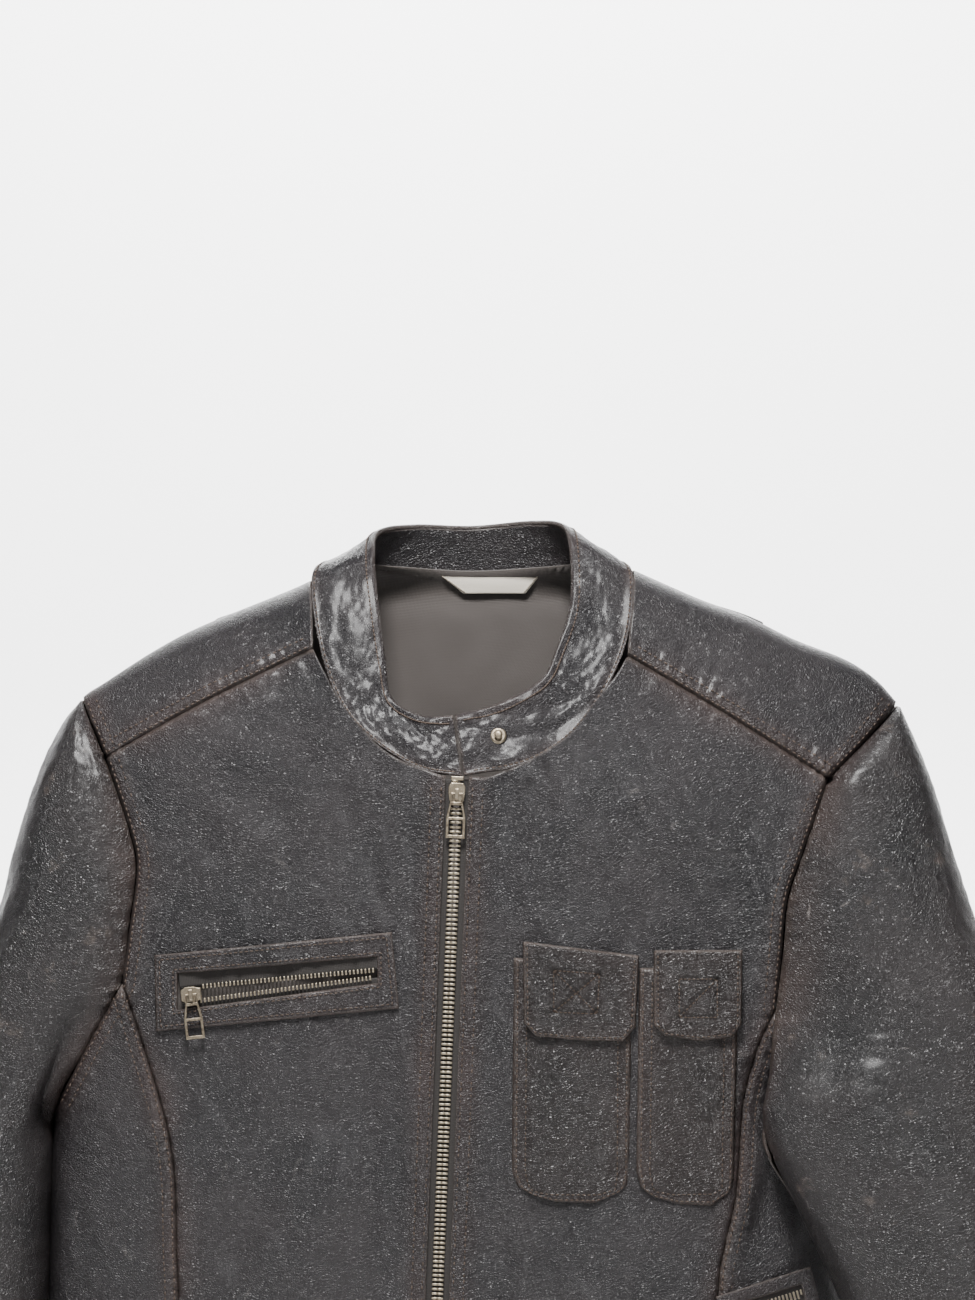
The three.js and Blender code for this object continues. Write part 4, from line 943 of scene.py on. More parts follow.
# ---- collar ----
# Seam point and top edge point, each (x, y beyond the mid plane, z), right end first.
COLLAR = [
    (-15.6, -61, -111.5, -20.4, -50, -80), (-40, -58, -107, -38, -48, -80),
    (-67, -49, -90, -55, -40, -70), (-84, -38, -69, -59, -31, -49),
    (-95, -24, -36, -63, -20, -20), (-98.5, -4, -1, -66, -3, 9), (-86, 26, 7, -64, 22, 24),
    (-55, 46.7, 2, -44, 42, 27), (-10, 53.5, -3, -10, 49, 26), (35, 47.5, 2, 24, 43, 29),
    (67, 26, 6, 41.5, 24, 28), (78.5, -4, 1, 45.5, 2, 18), (77, -24, -30, 46, -20, -16),
    (66, -38, -60, 38, -33, -42), (46, -49, -88, 29, -42, -60), (20, -58, -104.5, 6, -49, -73),
    (-14.4, -61, -111.5, -19.2, -50, -80)]


def collar_base(a, t):
    c = catmull(COLLAR, a * (len(COLLAR) - 1))
    p = mix(c[:, :3], c[:, 3:], t[:, None])
    return p + np.array([0, MID_Y, 0])


def collar_height(a, t):
    """Wrinkles of the standing collar, strongest at the front corners."""
    front = np.maximum(1 - smooth(0.05, 0.32, a), smooth(0.68, 0.95, a))
    h = 1.5 * noise(a * 17, t * 1.8, 101) + 0.7 * noise(a * 40, t * 3.4, 102)
    h = h + 0.35 * noise(a * 95, t * 8, 103) + 0.2 * noise(a * 180, t * 16, 106)
    drape = 1.3 * noise(a * 30 + t * 3, t * 1.2, 104) + 0.7 * noise(a * 26 - t * 5, t * 2.4, 105)
    settle = smooth(0.0, 0.2, t) * (1 - 0.5 * smooth(0.85, 1.0, t))
    welt = 0.7 * np.exp(-((t - 0.012) / 0.02) ** 2)
    flap = 1.3 * smooth(0.955, 0.985, a) - 0.4 * (1 - smooth(0.0, 0.03, a))
    return (h * mix(0.45, 0.9, front) + drape * front) * settle + welt + flap


def collar_inwards(a, t):
    e = 0.004
    u = collar_base(np.minimum(1, a + e), t) - collar_base(np.maximum(0, a - e), t)
    v = collar_base(a, np.minimum(1, t + e)) - collar_base(a, t - e)
    n = np.cross(u, v)
    return n / np.linalg.norm(n, axis=1)[:, None]


ROLL_START, ROLL_RADIUS = 0.93, 1.75


def collar_place(s, t):
    """t runs from the neck seam up, then rolls over the top edge."""
    up = np.minimum(1, t / ROLL_START)
    roll = np.clip((t - ROLL_START) / (1 - ROLL_START), 0, 1) * math.pi
    base = collar_base(s, mix(-0.02, 1, up))
    n = collar_inwards(s, up)
    rise = collar_base(s, np.ones(len(s))) - collar_base(s, np.full(len(s), 0.9))
    rise = rise / np.linalg.norm(rise, axis=1)[:, None]
    r = ROLL_RADIUS
    base = base + n * (r * (1 - np.cos(roll)))[:, None] + rise * (r * np.sin(roll))[:, None]
    return base - n * (collar_height(s, up) * (1 - 0.6 * (roll > 0)))[:, None]


def collar():
    def marks(p, s, t):
        return {"seam": np.clip(np.exp(-(t / 0.12) ** 2) + 0.5 * np.exp(-((t - 0.9) / 0.1) ** 2),
                                0, 1)}
    outer = grid_piece("collar_leather", 330, 44, lambda s, t: collar_place(s, 1 - t), -LEATHER,
                       MATERIAL["leather"], (0.5, 0.05), tint=lambda p, s, t: marks(p, s, 1 - t))
    finish_piece(outer, "collar_outer")

    def inner(s, t):
        up = 1 - t
        n = collar_inwards(s, up)
        return collar_base(s, mix(0.0, 0.985, up)) + n * (2.4 - collar_height(s, up) * 0.8)[:, None]
    facing = grid_piece("collar_facing_leather", 300, 24, inner, -LEATHER, MATERIAL["leather"],
                        (0.5, 0.05), tint=lambda p, s, t: marks(p, s, t * 0 + 1))
    finish_piece(facing, "collar_facing")


# ---- small repeated pieces ----
def placed(point, t, b, n):
    """A matrix whose x, y and z run along t, b and n, from millimetre vectors."""
    m = Matrix.Identity(4)
    for i in range(3):
        m[i][0], m[i][1], m[i][2], m[i][3] = t[i], b[i], n[i], point[i] * MM
    return m


def axes(point, t, n):
    t = np.array(t, float) / np.linalg.norm(t)
    b = np.cross(n, t)
    b = b / np.linalg.norm(b)
    return np.array(point, float), t, b, np.cross(t, b)


def to_object(name, bm, material, smooth_faces=True):
    mesh = bpy.data.meshes.new(name)
    bm.to_mesh(mesh)
    bm.free()
    if smooth_faces:
        mesh.shade_smooth()
    obj = bpy.data.objects.new(name, mesh)
    bpy.context.scene.collection.objects.link(obj)
    mesh.materials.append(material)
    return obj


def copies(name, template, matrices, material):
    """One piece made of many placed copies of a small mesh."""
    bm = bmesh.new()
    for m in matrices:
        one = template.copy()
        one.transform(m)
        bm.from_mesh(one)
        bpy.data.meshes.remove(one)
    return to_object(name, bm, material)


def template(bm):
    mesh = bpy.data.meshes.new("template")
    bm.to_mesh(mesh)
    bm.free()
    return mesh


def stitch_template(length=2.7, width=0.95):
    bm = bmesh.new()
    bmesh.ops.create_icosphere(bm, subdivisions=1, radius=1.0)
    bmesh.ops.scale(bm, vec=(length / 2 * MM, width / 2 * MM, width * 0.42 * MM), verts=bm.verts)
    return template(bm)


def block(bm, size, centre, bevel=0.25, segments=1):
    made = bmesh.ops.create_cube(bm, size=1.0)["verts"]
    bmesh.ops.scale(bm, vec=[v * MM for v in size], verts=made)
    bmesh.ops.translate(bm, vec=[v * MM for v in centre], verts=made)
    if bevel:
        edges = list({e for v in made for e in v.link_edges})
        bmesh.ops.bevel(bm, geom=edges, offset=bevel * MM, segments=segments, profile=0.5,
                        affect="EDGES", material=-1)


def front_normal(at, x, z, sign=-1.0, e=0.7):
    dx = (at(x + e, z) - at(x - e, z)) / (2 * e)
    dz = (at(x, z + e) - at(x, z - e)) / (2 * e)
    n = np.stack([-sign * dx, np.full(np.shape(x), sign), -sign * dz], axis=-1)
    return n / np.linalg.norm(n, axis=-1)[..., None]


def frames_on(path, at, pitch, sign=-1.0, lift=0.3):
    """Evenly spaced places along an (x, z) line laid on a face."""
    count = max(2, int(length_of(path) / pitch))
    q = along(path, (np.arange(count) + 0.5) / count)
    ahead = along(path, np.minimum(1, (np.arange(count) + 0.6) / count))
    y, y1 = at(q[:, 0], q[:, 1]), at(ahead[:, 0], ahead[:, 1])
    n = front_normal(at, q[:, 0], q[:, 1], sign)
    p = np.stack([q[:, 0], y, q[:, 1]], axis=1) + n * lift
    t = np.stack([ahead[:, 0] - q[:, 0], y1 - y, ahead[:, 1] - q[:, 1]], axis=1)
    out = []
    for i in range(count):
        if np.linalg.norm(t[i]) > 1e-9:
            point, tt, b, nn = axes(p[i], t[i], n[i])
            out.append(placed(point, tt, b, nn))
    return out


def beside(path, distance):
    """The line shifted sideways, + to the left of its direction."""
    d = np.gradient(path, axis=0)
    d = d / np.maximum(np.linalg.norm(d, axis=1), 1e-9)[:, None]
    return path + distance * np.stack([-d[:, 1], d[:, 0]], axis=1)


STITCH = stitch_template()
SMALL_STITCH = stitch_template(2.3, 0.8)
STITCH_PITCH = 3.3


def seam_stitches():
    front, back = [], []
    for key, (path, side) in SEAMS.items():
        for d in STITCH_ROWS:
            line = along(beside(path, d * side), np.linspace(0.015, 0.985, 200))
            front += frames_on(line, front_y, STITCH_PITCH)
            if key not in FRONT_ONLY:
                back += frames_on(line, back_y, STITCH_PITCH, 1.0)
    near, far = ZIP_STITCH_ROWS
    for off in (-far, -near, near, far):
        z = np.linspace(-118, HEM_Z + 3, 200)
        front += frames_on(np.stack([zip_x(z) + off, z], axis=1), front_y, STITCH_PITCH)
    x = np.linspace(-175, 175, 160)
    x = x[x < 122]
    hem = np.stack([x, np.full(len(x), HEM_Z + 22)], axis=1)
    front += frames_on(hem, front_y, STITCH_PITCH)
    back += frames_on(hem, back_y, STITCH_PITCH, 1.0)
    for d in STITCH_ROWS:
        x = np.linspace(-205, 182, 200)
        back += frames_on(np.stack([x, back_seam_line(x) + d], axis=1), back_y, STITCH_PITCH, 1.0)
        z = np.linspace(-100, HEM_Z + 3, 160)
        back += frames_on(np.stack([np.full(160, BACK_MID_X + d), z], axis=1), back_y, STITCH_PITCH, 1.0)
    for name, rows in (("seam_stitches_front", front), ("seam_stitches_back", back)):
        finish_piece(copies(name, STITCH, rows, MATERIAL["thread"]))


def collar_stitches():
    rows = []
    for up, n in ((0.84, 200), (0.045, 170)):
        s = np.linspace(0.012, 0.988, n)
        t = np.full(n, up)
        p = collar_place(s, t)
        q = collar_place(np.minimum(1, s + 0.001), t)
        r = collar_place(s, t + 0.01)
        for i in range(n):
            out = np.cross(r[i] - p[i], q[i] - p[i])
            out = out / np.linalg.norm(out)
            if np.dot(out, -collar_inwards(s[i:i + 1], t[i:i + 1])[0]) < 0:
                out = -out
            point, tt, b, nn = axes(p[i] + out * 0.3, q[i] - p[i], out)
            rows.append(placed(point, tt, b, nn))
    finish_piece(copies("collar_stitches", STITCH, rows, MATERIAL["thread"]))


# ---- zips ----
def strip(name, place, nu, nv, material, thick, node=None, uv=(0.02, 0.5)):
    obj = grid_piece(name, nu, nv, place, thick, MATERIAL[material], uv)
    return finish_piece(obj, *([node] if node else []))


def local(seat, a, b, c):
    point, t, u, n = seat
    return (point + np.multiply.outer(np.asarray(a, float), t)
            + np.multiply.outer(np.asarray(b, float), u) + np.multiply.outer(np.asarray(c, float), n))


def tooth_template(length, across, high, bevel=0.28):
    bm = bmesh.new()
    block(bm, (length, across, high), (0, 0, 0), bevel)
    return template(bm)


def tooth_frames(seat, starts, ends, pitch, out, half_step):
    """Places along a straight row between two (along, across) points."""
    (a0, b0), (a1, b1) = starts, ends
    count = int(abs(a1 - a0) / pitch)
    rows = []
    for i in range(count):
        f = (i + 0.5 + 0.5 * half_step) / count
        point = local(seat, mix(a0, a1, f), mix(b0, b1, f), out)
        rows.append(placed(point, *seat[1:]))
    return rows


def plate_outline(bm, outline, c0, c1, bevel=0.25, segments=2, flat="ab"):
    """A bevelled prism over an outline: in the a, b plane, or in a, c and through b."""
    def at(p, q, r):
        return (p * MM, q * MM, r * MM) if flat == "ab" else (p * MM, r * MM, q * MM)
    verts = [bm.verts.new(at(p, q, c0)) for p, q in outline]
    face = bm.faces.new(verts)
    grown = bmesh.ops.extrude_face_region(bm, geom=[face])["geom"]
    up = [v for v in grown if isinstance(v, bmesh.types.BMVert)]
    move = (0, 0, (c1 - c0) * MM) if flat == "ab" else (0, (c1 - c0) * MM, 0)
    bmesh.ops.translate(bm, vec=move, verts=up)
    every = verts + up
    faces = list({f for v in every for f in v.link_faces})
    bmesh.ops.recalc_face_normals(bm, faces=faces)
    if bevel:
        edges = list({e for v in every for e in v.link_edges})
        bmesh.ops.bevel(bm, geom=edges, offset=bevel * MM, segments=segments, profile=0.5,
                        affect="EDGES", material=-1)


TOOTH_HEIGHT = 1.8
BAIL_GAP = 1.9
HOOK_REACH, HOOK_HALF = 3.2, 1.1
PULL_THICK = 1.2
EYE_NARROWING = 0.62


def slider(name, seat, outline, low, high, lower=True):
    """Two shield plates round the teeth, a post between them and a hook for the pull."""
    bm = bmesh.new()
    plate_outline(bm, outline, high, high + 1.0, 0.3)
    if lower:
        plate_outline(bm, outline, low - 1.0, low, 0.2, 1)
        post = (1.6, 0.8) if outline[0][0] < -5 else (0.8, 1.6)
        block(bm, (*post, high - low + 0.4), (0, 0, (high + low) / 2), 0.1)
    base = high + 1.0
    hook = [(2.2, base - 0.1), (HOOK_REACH, base - 0.1), (HOOK_REACH, base + 2.3), (2.6, base + 2.8),
            (-2.6, base + 2.8), (-HOOK_REACH, base + 2.3), (-HOOK_REACH, base + 1.9), (2.2, base + 1.9)]
    plate_outline(bm, hook, -HOOK_HALF, HOOK_HALF, 0.25, 2, "ac")
    bmesh.ops.transform(bm, matrix=placed(*seat), verts=bm.verts)
    obj = to_object(name + "_metal", bm, MATERIAL["brass"], False)
    finish_piece(obj, name, body=name)
    return base


def pull(name, seat, face, length, width):
    """An eye round the hook, two side rods, a cross bar and an open frame."""
    hw, start = width / 2, -0.6
    bar = 1.5
    rows = [start, start + 1.2, start + 5, start + 6.6, start + length * 0.54,
            start + length * 0.54 + 1.5, start + length - 1.8, start + length]
    cols = [-hw, -hw + bar, 0, hw - bar, hw]
    bm = bmesh.new()
    bmesh.ops.create_grid(bm, x_segments=len(rows) - 1, y_segments=len(cols) - 1, size=0.5)
    for v in bm.verts:
        i = round((v.co.x + 0.5) * (len(rows) - 1))
        j = round((v.co.y + 0.5) * (len(cols) - 1))
        a = rows[i]
        narrow = mix(EYE_NARROWING, 1.0, float(smooth(2, length * 0.55, a)))
        v.co = (a * MM, cols[j] * narrow * MM, 0)
    windows = []
    for f in bm.faces:
        c = f.calc_center_median() / MM
        open_row = rows[1] < c.x < rows[2] or rows[3] < c.x < rows[4] or rows[5] < c.x < rows[6]
        narrow = mix(EYE_NARROWING, 1.0, float(smooth(2, length * 0.55, c.x)))
        if open_row and abs(c.y) < (hw - bar) * narrow:
            windows.append(f)
    bmesh.ops.delete(bm, geom=windows, context="FACES")
    grown = bmesh.ops.extrude_face_region(bm, geom=bm.faces[:])["geom"]
    up = [v for v in grown if isinstance(v, bmesh.types.BMVert)]
    bmesh.ops.translate(bm, vec=(0, 0, PULL_THICK * MM), verts=up)
    bmesh.ops.recalc_face_normals(bm, faces=bm.faces)
    sharp = [e for e in bm.edges if len(e.link_faces) == 2 and e.calc_face_angle(0) > 0.6]
    bmesh.ops.bevel(bm, geom=sharp, offset=0.3 * MM, segments=2, profile=0.5, affect="EDGES",
                    material=-1)
    out = face + (BAIL_GAP - PULL_THICK) / 2
    bmesh.ops.translate(bm, vec=(0, 0, out * MM), verts=bm.verts)
    bmesh.ops.transform(bm, matrix=placed(*seat), verts=bm.verts)
    finish_piece(to_object(name + "_metal", bm, MATERIAL["brass"], False), name, body=name)


SHIELD = [(-6, -3.4), (-6, 3.4), (-4, 4.6), (-0.5, 4.6), (3.5, 4.0), (6, 2.8), (6, -2.8),
          (3.5, -4.0), (-0.5, -4.6), (-4, -4.6)]


def main_zip():
    line = np.array([-ZIP_SLOPE, 0, -1.0])
    top = (ZIP_TOP[0], FACE_Y, ZIP_TOP[1])
    f = axes(top, line, (0, -1, 0))
    end, out = 446.0, -1.4
    for label, s in (("right", 1), ("left", -1)):
        def tape(u, v, s=s):
            a, b = v * end, s * mix(1.5, TAPE_HALF + 6, u)
            ripple = 0.12 * noise(a / 9, b / 6, 5) - 0.3 * np.exp(-(((u * 11) - 1.4) / 0.6) ** 2)
            return local(f, a, b, out - 0.35 + ripple)
        strip(f"main_zip_tape_{label}_cloth", tape, 10, 220, "tape", 0.4 * s,
              f"main_zip_tape_{label}", (0.012, 0.446))
        rows = tooth_frames(f, (1, s * 1.35), (end, s * 1.35), 2.54, out, s)
        finish_piece(copies(f"main_zip_teeth_{label}_metal", tooth_template(1.3, 3.7, TOOTH_HEIGHT),
                            rows, MATERIAL["teeth"]), f"main_zip_teeth_{label}")
    for node, size, centre, bevel in (
            ("main_zip_top_stop", (2.1, 6.8, 1.1), (-0.55, 0, out + 0.35), 0.3),
            ("main_zip_pin_box", (8.6, 9.2, 2.4), (end + 4.7, 0, out + 0.1), 0.6)):
        bm = bmesh.new()
        block(bm, size, centre, bevel, 2)
        bmesh.ops.transform(bm, matrix=placed(*f), verts=bm.verts)
        finish_piece(to_object(node + "_metal", bm, MATERIAL["brass"], False), node)
    s = axes(local(f, 8.0, 0.0, 0.0), line, (0, -1, 0))
    low, high = out - TOOTH_HEIGHT / 2 - 0.4, out + TOOTH_HEIGHT / 2 + 0.4
    face = slider("main_zip_slider", s, SHIELD, low, high)
    pull("main_zip_pull", s, face, 25, 10.6)


# ---- pockets ----
def round_the_sides(corners, s):
    """Points on a closed outline of straight sides, s running from 0 to 1 round it."""
    p = np.array(corners + corners[:1], float)
    v = np.clip(s, 0, 1) * len(corners)
    k = np.clip(np.floor(v).astype(int), 0, len(corners) - 1)
    return p[k] + (p[k + 1] - p[k]) * (v - k)[:, None]


def ring(name, outer, inner, at, node, columns=70):
    """A leather ring round a window, corner to matching corner."""
    def place(s, t):
        a, b = round_the_sides(outer, s), round_the_sides(inner, s)
        q = mix(a, b, t[:, None])
        wide = np.linalg.norm(b - a, axis=1)
        edge = np.minimum(t, 1 - t) * wide
        h = -0.9 * np.exp(-(edge / 0.8) ** 2) + 0.35 * noise(q[:, 0] / 6, q[:, 1] / 6, 7)
        h = h + 0.3 * np.exp(-((edge - 1.4) / 0.9) ** 2) - 0.35 * np.exp(-((edge - 2.6) / 0.7) ** 2)
        return np.stack([q[:, 0], at(q[:, 0], q[:, 1]) - h, q[:, 1]], axis=1)
    obj = grid_piece(name, columns * len(outer), 12, place, LEATHER, MATERIAL["leather"], (0.35, 0.02),
                     tint=lambda p, s, t: {"seam": 0.35 + 0.6 * np.abs(2 * t - 1) ** 2})
    bm = bmesh.new()
    bm.from_mesh(obj.data)
    bmesh.ops.remove_doubles(bm, verts=bm.verts, dist=1e-6)
    bm.to_mesh(obj.data)
    bm.free()
    return finish_piece(obj, node)


def closed_line(points, n=160):
    p = np.array(points + points[:1], float)
    return even(np.vstack([p[k] + (p[k + 1] - p[k]) * np.linspace(0, 1, 40)[:, None]
                           for k in range(len(points))]), n)


def chest_pocket():
    outer = [(-185, -211), (-54, -198), (-50, -240), (-184, -253)]
    inner = [(-172, -221), (-62, -211.5), (-62, -226), (-172, -241)]

    def ring_y(x, z):
        return front_y(x, z) - 0.45 - LEATHER - 0.5
    ring("chest_pocket_frame_leather", outer, inner, ring_y, "chest_pocket_frame")
    rows = []
    for corners in ([(-182, -213.6), (-57, -201), (-53.5, -237.6), (-181.4, -250.2)],
                    [(-174.5, -219), (-60, -209.2), (-60, -228.2), (-174.5, -243.2)]):
        rows += frames_on(closed_line(corners), lambda x, z: ring_y(x, z) - 0.05, 2.9)
    finish_piece(copies("chest_pocket_stitches", SMALL_STITCH, rows, MATERIAL["thread"]))

    def bag(s, t):
        x = mix(-180, -56, s)
        top, bottom = mix(-216, -206, s), mix(-247, -231, s)
        z = mix(top, bottom, t)
        sag = 0.5 * noise(x / 14, z / 9, 8)
        return np.stack([x, front_y(x, z) + 2.5 + sag, z], axis=1)
    strip("chest_pocket_bag", bag, 60, 16, "lining", 0.5, None, (0.124, 0.03))

    p = [np.array([x, float(front_y(np.array([x]), np.array([z]), False)[0]), z])
         for x, z in ((-163, -232.4), (-64, -221))]
    direction = (p[1] - p[0]) / np.linalg.norm(p[1] - p[0])
    normal = np.array([direction[1], -direction[0], 0])
    f = axes(p[0], direction, normal)
    length = float(np.linalg.norm(p[1] - p[0]))
    out = 0.8
    for label, s in (("upper", 1), ("lower", -1)):
        rows = tooth_frames(f, (3.5, s * 3.9), (length, s * 2.0), 2.1, out, s)
        finish_piece(copies(f"chest_zip_teeth_{label}_metal", tooth_template(1.1, 2.5, 1.7, 0.25),
                            rows, MATERIAL["teeth"]), f"chest_zip_teeth_{label}")

        def tape(u, v, s=s):
            a = mix(-7, length + 5, v)
            near = mix(4.3, 2.3, np.clip(a / length, 0, 1))
            b = s * mix(near, 12.5, u)
            rib = 0.25 * np.exp(-((u - 0.12) / 0.08) ** 2)
            return local(f, a, b, -0.15 + rib + 0.15 * noise(a / 8, b / 5, 6))
        strip(f"chest_zip_tape_{label}_cloth", tape, 10, 70, "tape", 0.4 * s,
              f"chest_zip_tape_{label}", (0.011, 0.11))
    s = axes(p[0] - 1.5 * direction, -np.cross(f[3], f[1]), f[3])
    low, high = out - TOOTH_HEIGHT / 2 - 0.4, out + TOOTH_HEIGHT / 2 + 0.4
    outline = [(-2.8, -5.5), (-4.3, -3), (-4.3, 1.5), (-3.0, 5.5), (3.0, 5.5), (4.3, 1.5),
               (4.3, -3), (2.8, -5.5)]
    face = slider("chest_zip_slider", s, outline, low, high)
    pull("chest_zip_pull", s, face, 25, 10.4)


def patch_surface(at, lift, seed, puff, quilted=()):
    """The outside of a sewn-on patch, with valleys along its quilting lines."""
    def y(x, z):
        h = 1.5 * rumple(x, z * 0.8, 24, seed, 3) * puff + 0.3 * noise(x / 5, z / 7, seed + 9)
        for line in quilted:
            d, _, run = seam_distance(line, x, z)
            h = h - 0.95 * np.exp(-(d / 1.1) ** 2) + 0.3 * np.exp(-((d - 2.6) / 1.4) ** 2)
            h = h + 0.2 * np.sin(run / 4.2 * WAVE) * np.exp(-(d / 3.2) ** 2)
        return at(x, z) - lift - h
    return y


def patch(name, edges, surface, node, body=ROOT, rows=(2.4, 7.4), step=1.8):
    """A sewn-on leather patch with a turned edge and stitch rows inside it."""
    top, bottom, left, right = edges
    at = coons(top, bottom, left, right)
    wide, high = length_of(top), length_of(left)

    def to_edge(s, t):
        return np.minimum(np.minimum(s, 1 - s) * wide, np.minimum(t, 1 - t) * high)

    def edge_height(s, t):
        d = to_edge(s, t)
        h = -1.4 * np.exp(-(d / 0.9) ** 2) + 0.45 * np.exp(-((d - 1.5) / 0.9) ** 2)
        for r in rows:
            h = h - 0.6 * np.exp(-((d - r) / 0.75) ** 2)
        beside_a_side = np.minimum(s, 1 - s) * wide < np.minimum(t, 1 - t) * high
        run = np.where(beside_a_side, t * high, s * wide)
        pucker = 0.22 * np.sin(run / 4.8 * WAVE + 3 * noise(run / 13, run * 0, 3))
        return h + pucker * np.exp(-((d - 4.5) / 3.2) ** 2)

    def place(s, t):
        q = at(s, t)
        return np.stack([q[:, 0], surface(q[:, 0], q[:, 1]) - edge_height(s, t), q[:, 1]], axis=1)

    def tint(p, s, t):
        return {"seam": np.clip(0.35 + np.exp(-(to_edge(s, t) / 7) ** 2), 0, 1)}
    obj = grid_piece(name, round(wide / step), round(high / step), place, LEATHER,
                     MATERIAL["trim"], (wide * MM, high * MM), tint=tint)
    finish_piece(obj, node, body=body)
    stitches = []
    for r in rows:
        s0, t0 = r / wide, r / high
        border = [at(np.array([s]), np.array([t]))[0] for s, t in
                  [(s0, v) for v in np.linspace(t0, 1 - t0, 40)]
                  + [(v, 1 - t0) for v in np.linspace(s0, 1 - s0, 30)]
                  + [(1 - s0, v) for v in np.linspace(1 - t0, t0, 40)]]
        stitches += frames_on(even(np.array(border), 200), lambda x, z: surface(x, z) + 0.25, 2.9)
    return stitches


def patch_pockets():
    specs = {
        "inner": ([(13, -212), (78, -219)], [(24, -343), (36, -346.5), (58, -347), (70, -342)],
                  [(13, -212), (12, -330), (15, -338), (24, -343)],
                  [(78, -219), (77, -330), (75, -338), (70, -342)],
                  [(18, -203), (82, -211)], [(25, -255), (50, -257.5), (73, -258)],
                  [(18, -203), (18.5, -248), (25, -255)], [(82, -211), (80, -250), (73, -258)],
                  [(35, -219), (60, -221), (59, -243), (35, -242)], True),
        "outer": ([(82, -218), (137, -216)], [(90, -344), (104, -348), (122, -349), (131, -343)],
                  [(82, -218), (80.5, -330), (83, -339), (90, -344)],
                  [(137, -216), (134.5, -330), (134, -338), (131, -343)],
                  [(90, -208), (139, -208)], [(96, -255), (115, -258), (133, -256)],
                  [(90, -208), (90, -249), (96, -255)], [(139, -208), (138.5, -249), (133, -256)],
                  [(104, -224), (125, -224), (125, -245), (104, -245)], False)}
    for seed, (label, lines) in enumerate(specs.items()):
        edges = [even(np.array(line, float), 120) for line in lines[:8]]
        corners, crossed = lines[8:]
        base = patch_surface(front_y, LEATHER + 0.9, 200 + seed, 0.8)
        rows = patch(f"{label}_pocket_leather", edges[:4], base, f"{label}_pocket_body")
        finish_piece(copies(f"{label}_pocket_stitches", SMALL_STITCH, rows, MATERIAL["thread"]))
        node = f"{label}_pocket_flap"
        quilting = [closed_line(corners), spline([corners[3], corners[1]], 60)]
        if crossed:
            quilting.append(spline([corners[0], corners[2]], 60))
        over = patch_surface(front_y, 2 * LEATHER + 2.4, 210 + seed, 0.45, quilting)
        rows = patch(f"{label}_flap_leather", edges[4:], over, node, node, rows=(2.4,), step=1.2)
        for line in quilting:
            rows += frames_on(line, over, 2.3)
        finish_piece(copies(f"{label}_flap_stitches", SMALL_STITCH, rows, MATERIAL["thread"]),
                     body=node)


def lower_pocket(label, ends):
    """A leather welt round a closed zip near the side of the hem."""
    p = []
    for x, z in ends:
        y = float(front_y(np.array([x * 1.0]), np.array([z * 1.0]), False)[0])
        p.append(np.array([x, y, z], float))
    direction = (p[1] - p[0]) / np.linalg.norm(p[1] - p[0])
    normal = np.cross(direction, (0, 0, 1))
    normal = normal / np.linalg.norm(normal)
    if normal[1] > 0:
        normal = -normal
    f = axes(p[0], direction, normal)
    length = float(np.linalg.norm(p[1] - p[0]))
    lift = 2.7
    outer = [(-8, 13), (length + 8, 13), (length + 8, -13), (-8, -13)]
    inner = [(0, 5), (length, 5), (length, -5), (0, -5)]

    def place(s, t):
        q = mix(round_the_sides(outer, s), round_the_sides(inner, s), t[:, None])
        edge = np.minimum(t, 1 - t) * 8
        h = -0.8 * np.exp(-(edge / 0.8) ** 2) + 0.2 * noise(q[:, 0] / 5, q[:, 1] / 5, 4)
        h = h - 0.3 * np.exp(-((edge - 2.4) / 0.7) ** 2)
        return local(f, q[:, 0], q[:, 1], 0) + np.multiply.outer(lift + LEATHER + h, f[3])
    obj = grid_piece(f"lower_pocket_welt_{label}_leather", 160, 8, place, LEATHER,
                     MATERIAL["leather"], (0.14, 0.02),
                     tint=lambda p, s, t: {"seam": 0.4 + 0 * s})
    finish_piece(obj, f"lower_pocket_welt_{label}")

    def tape(u, v):
        a, b = mix(-4, length + 4, v), mix(-8, 8, u)
        return local(f, a, b, lift - 0.5 + 0.08 * noise(a / 4, b / 4, 2))
    strip(f"lower_zip_tape_{label}_cloth", tape, 12, 30, "tape", 0.4, f"lower_zip_tape_{label}",
          (0.016, 0.05))
    rows = []
    for s in (1, -1):
        rows += tooth_frames(f, (1, s * 0.95), (length - 1, s * 0.95), 2.1, lift + 0.4, s)
    finish_piece(copies(f"lower_zip_teeth_{label}_metal", tooth_template(1.1, 2.9, 1.2, 0.25), rows,
                        MATERIAL["teeth"]), f"lower_zip_teeth_{label}")
    down = np.cross(f[3], f[1])
    if down[2] > 0:
        down = -down
    s = axes(p[0] + 8 * direction, down, f[3])
    base = lift + LEATHER / 2 + 0.7
    outline = [(-2.8, -5), (-4, -3), (-4, 3), (-2.8, 5), (2.8, 5), (4, 3), (4, -3), (2.8, -5)]
    face = slider(f"lower_zip_slider_{label}", s, outline, base, base, lower=False)
    pull(f"lower_zip_pull_{label}", s, face, 23, 9.6)


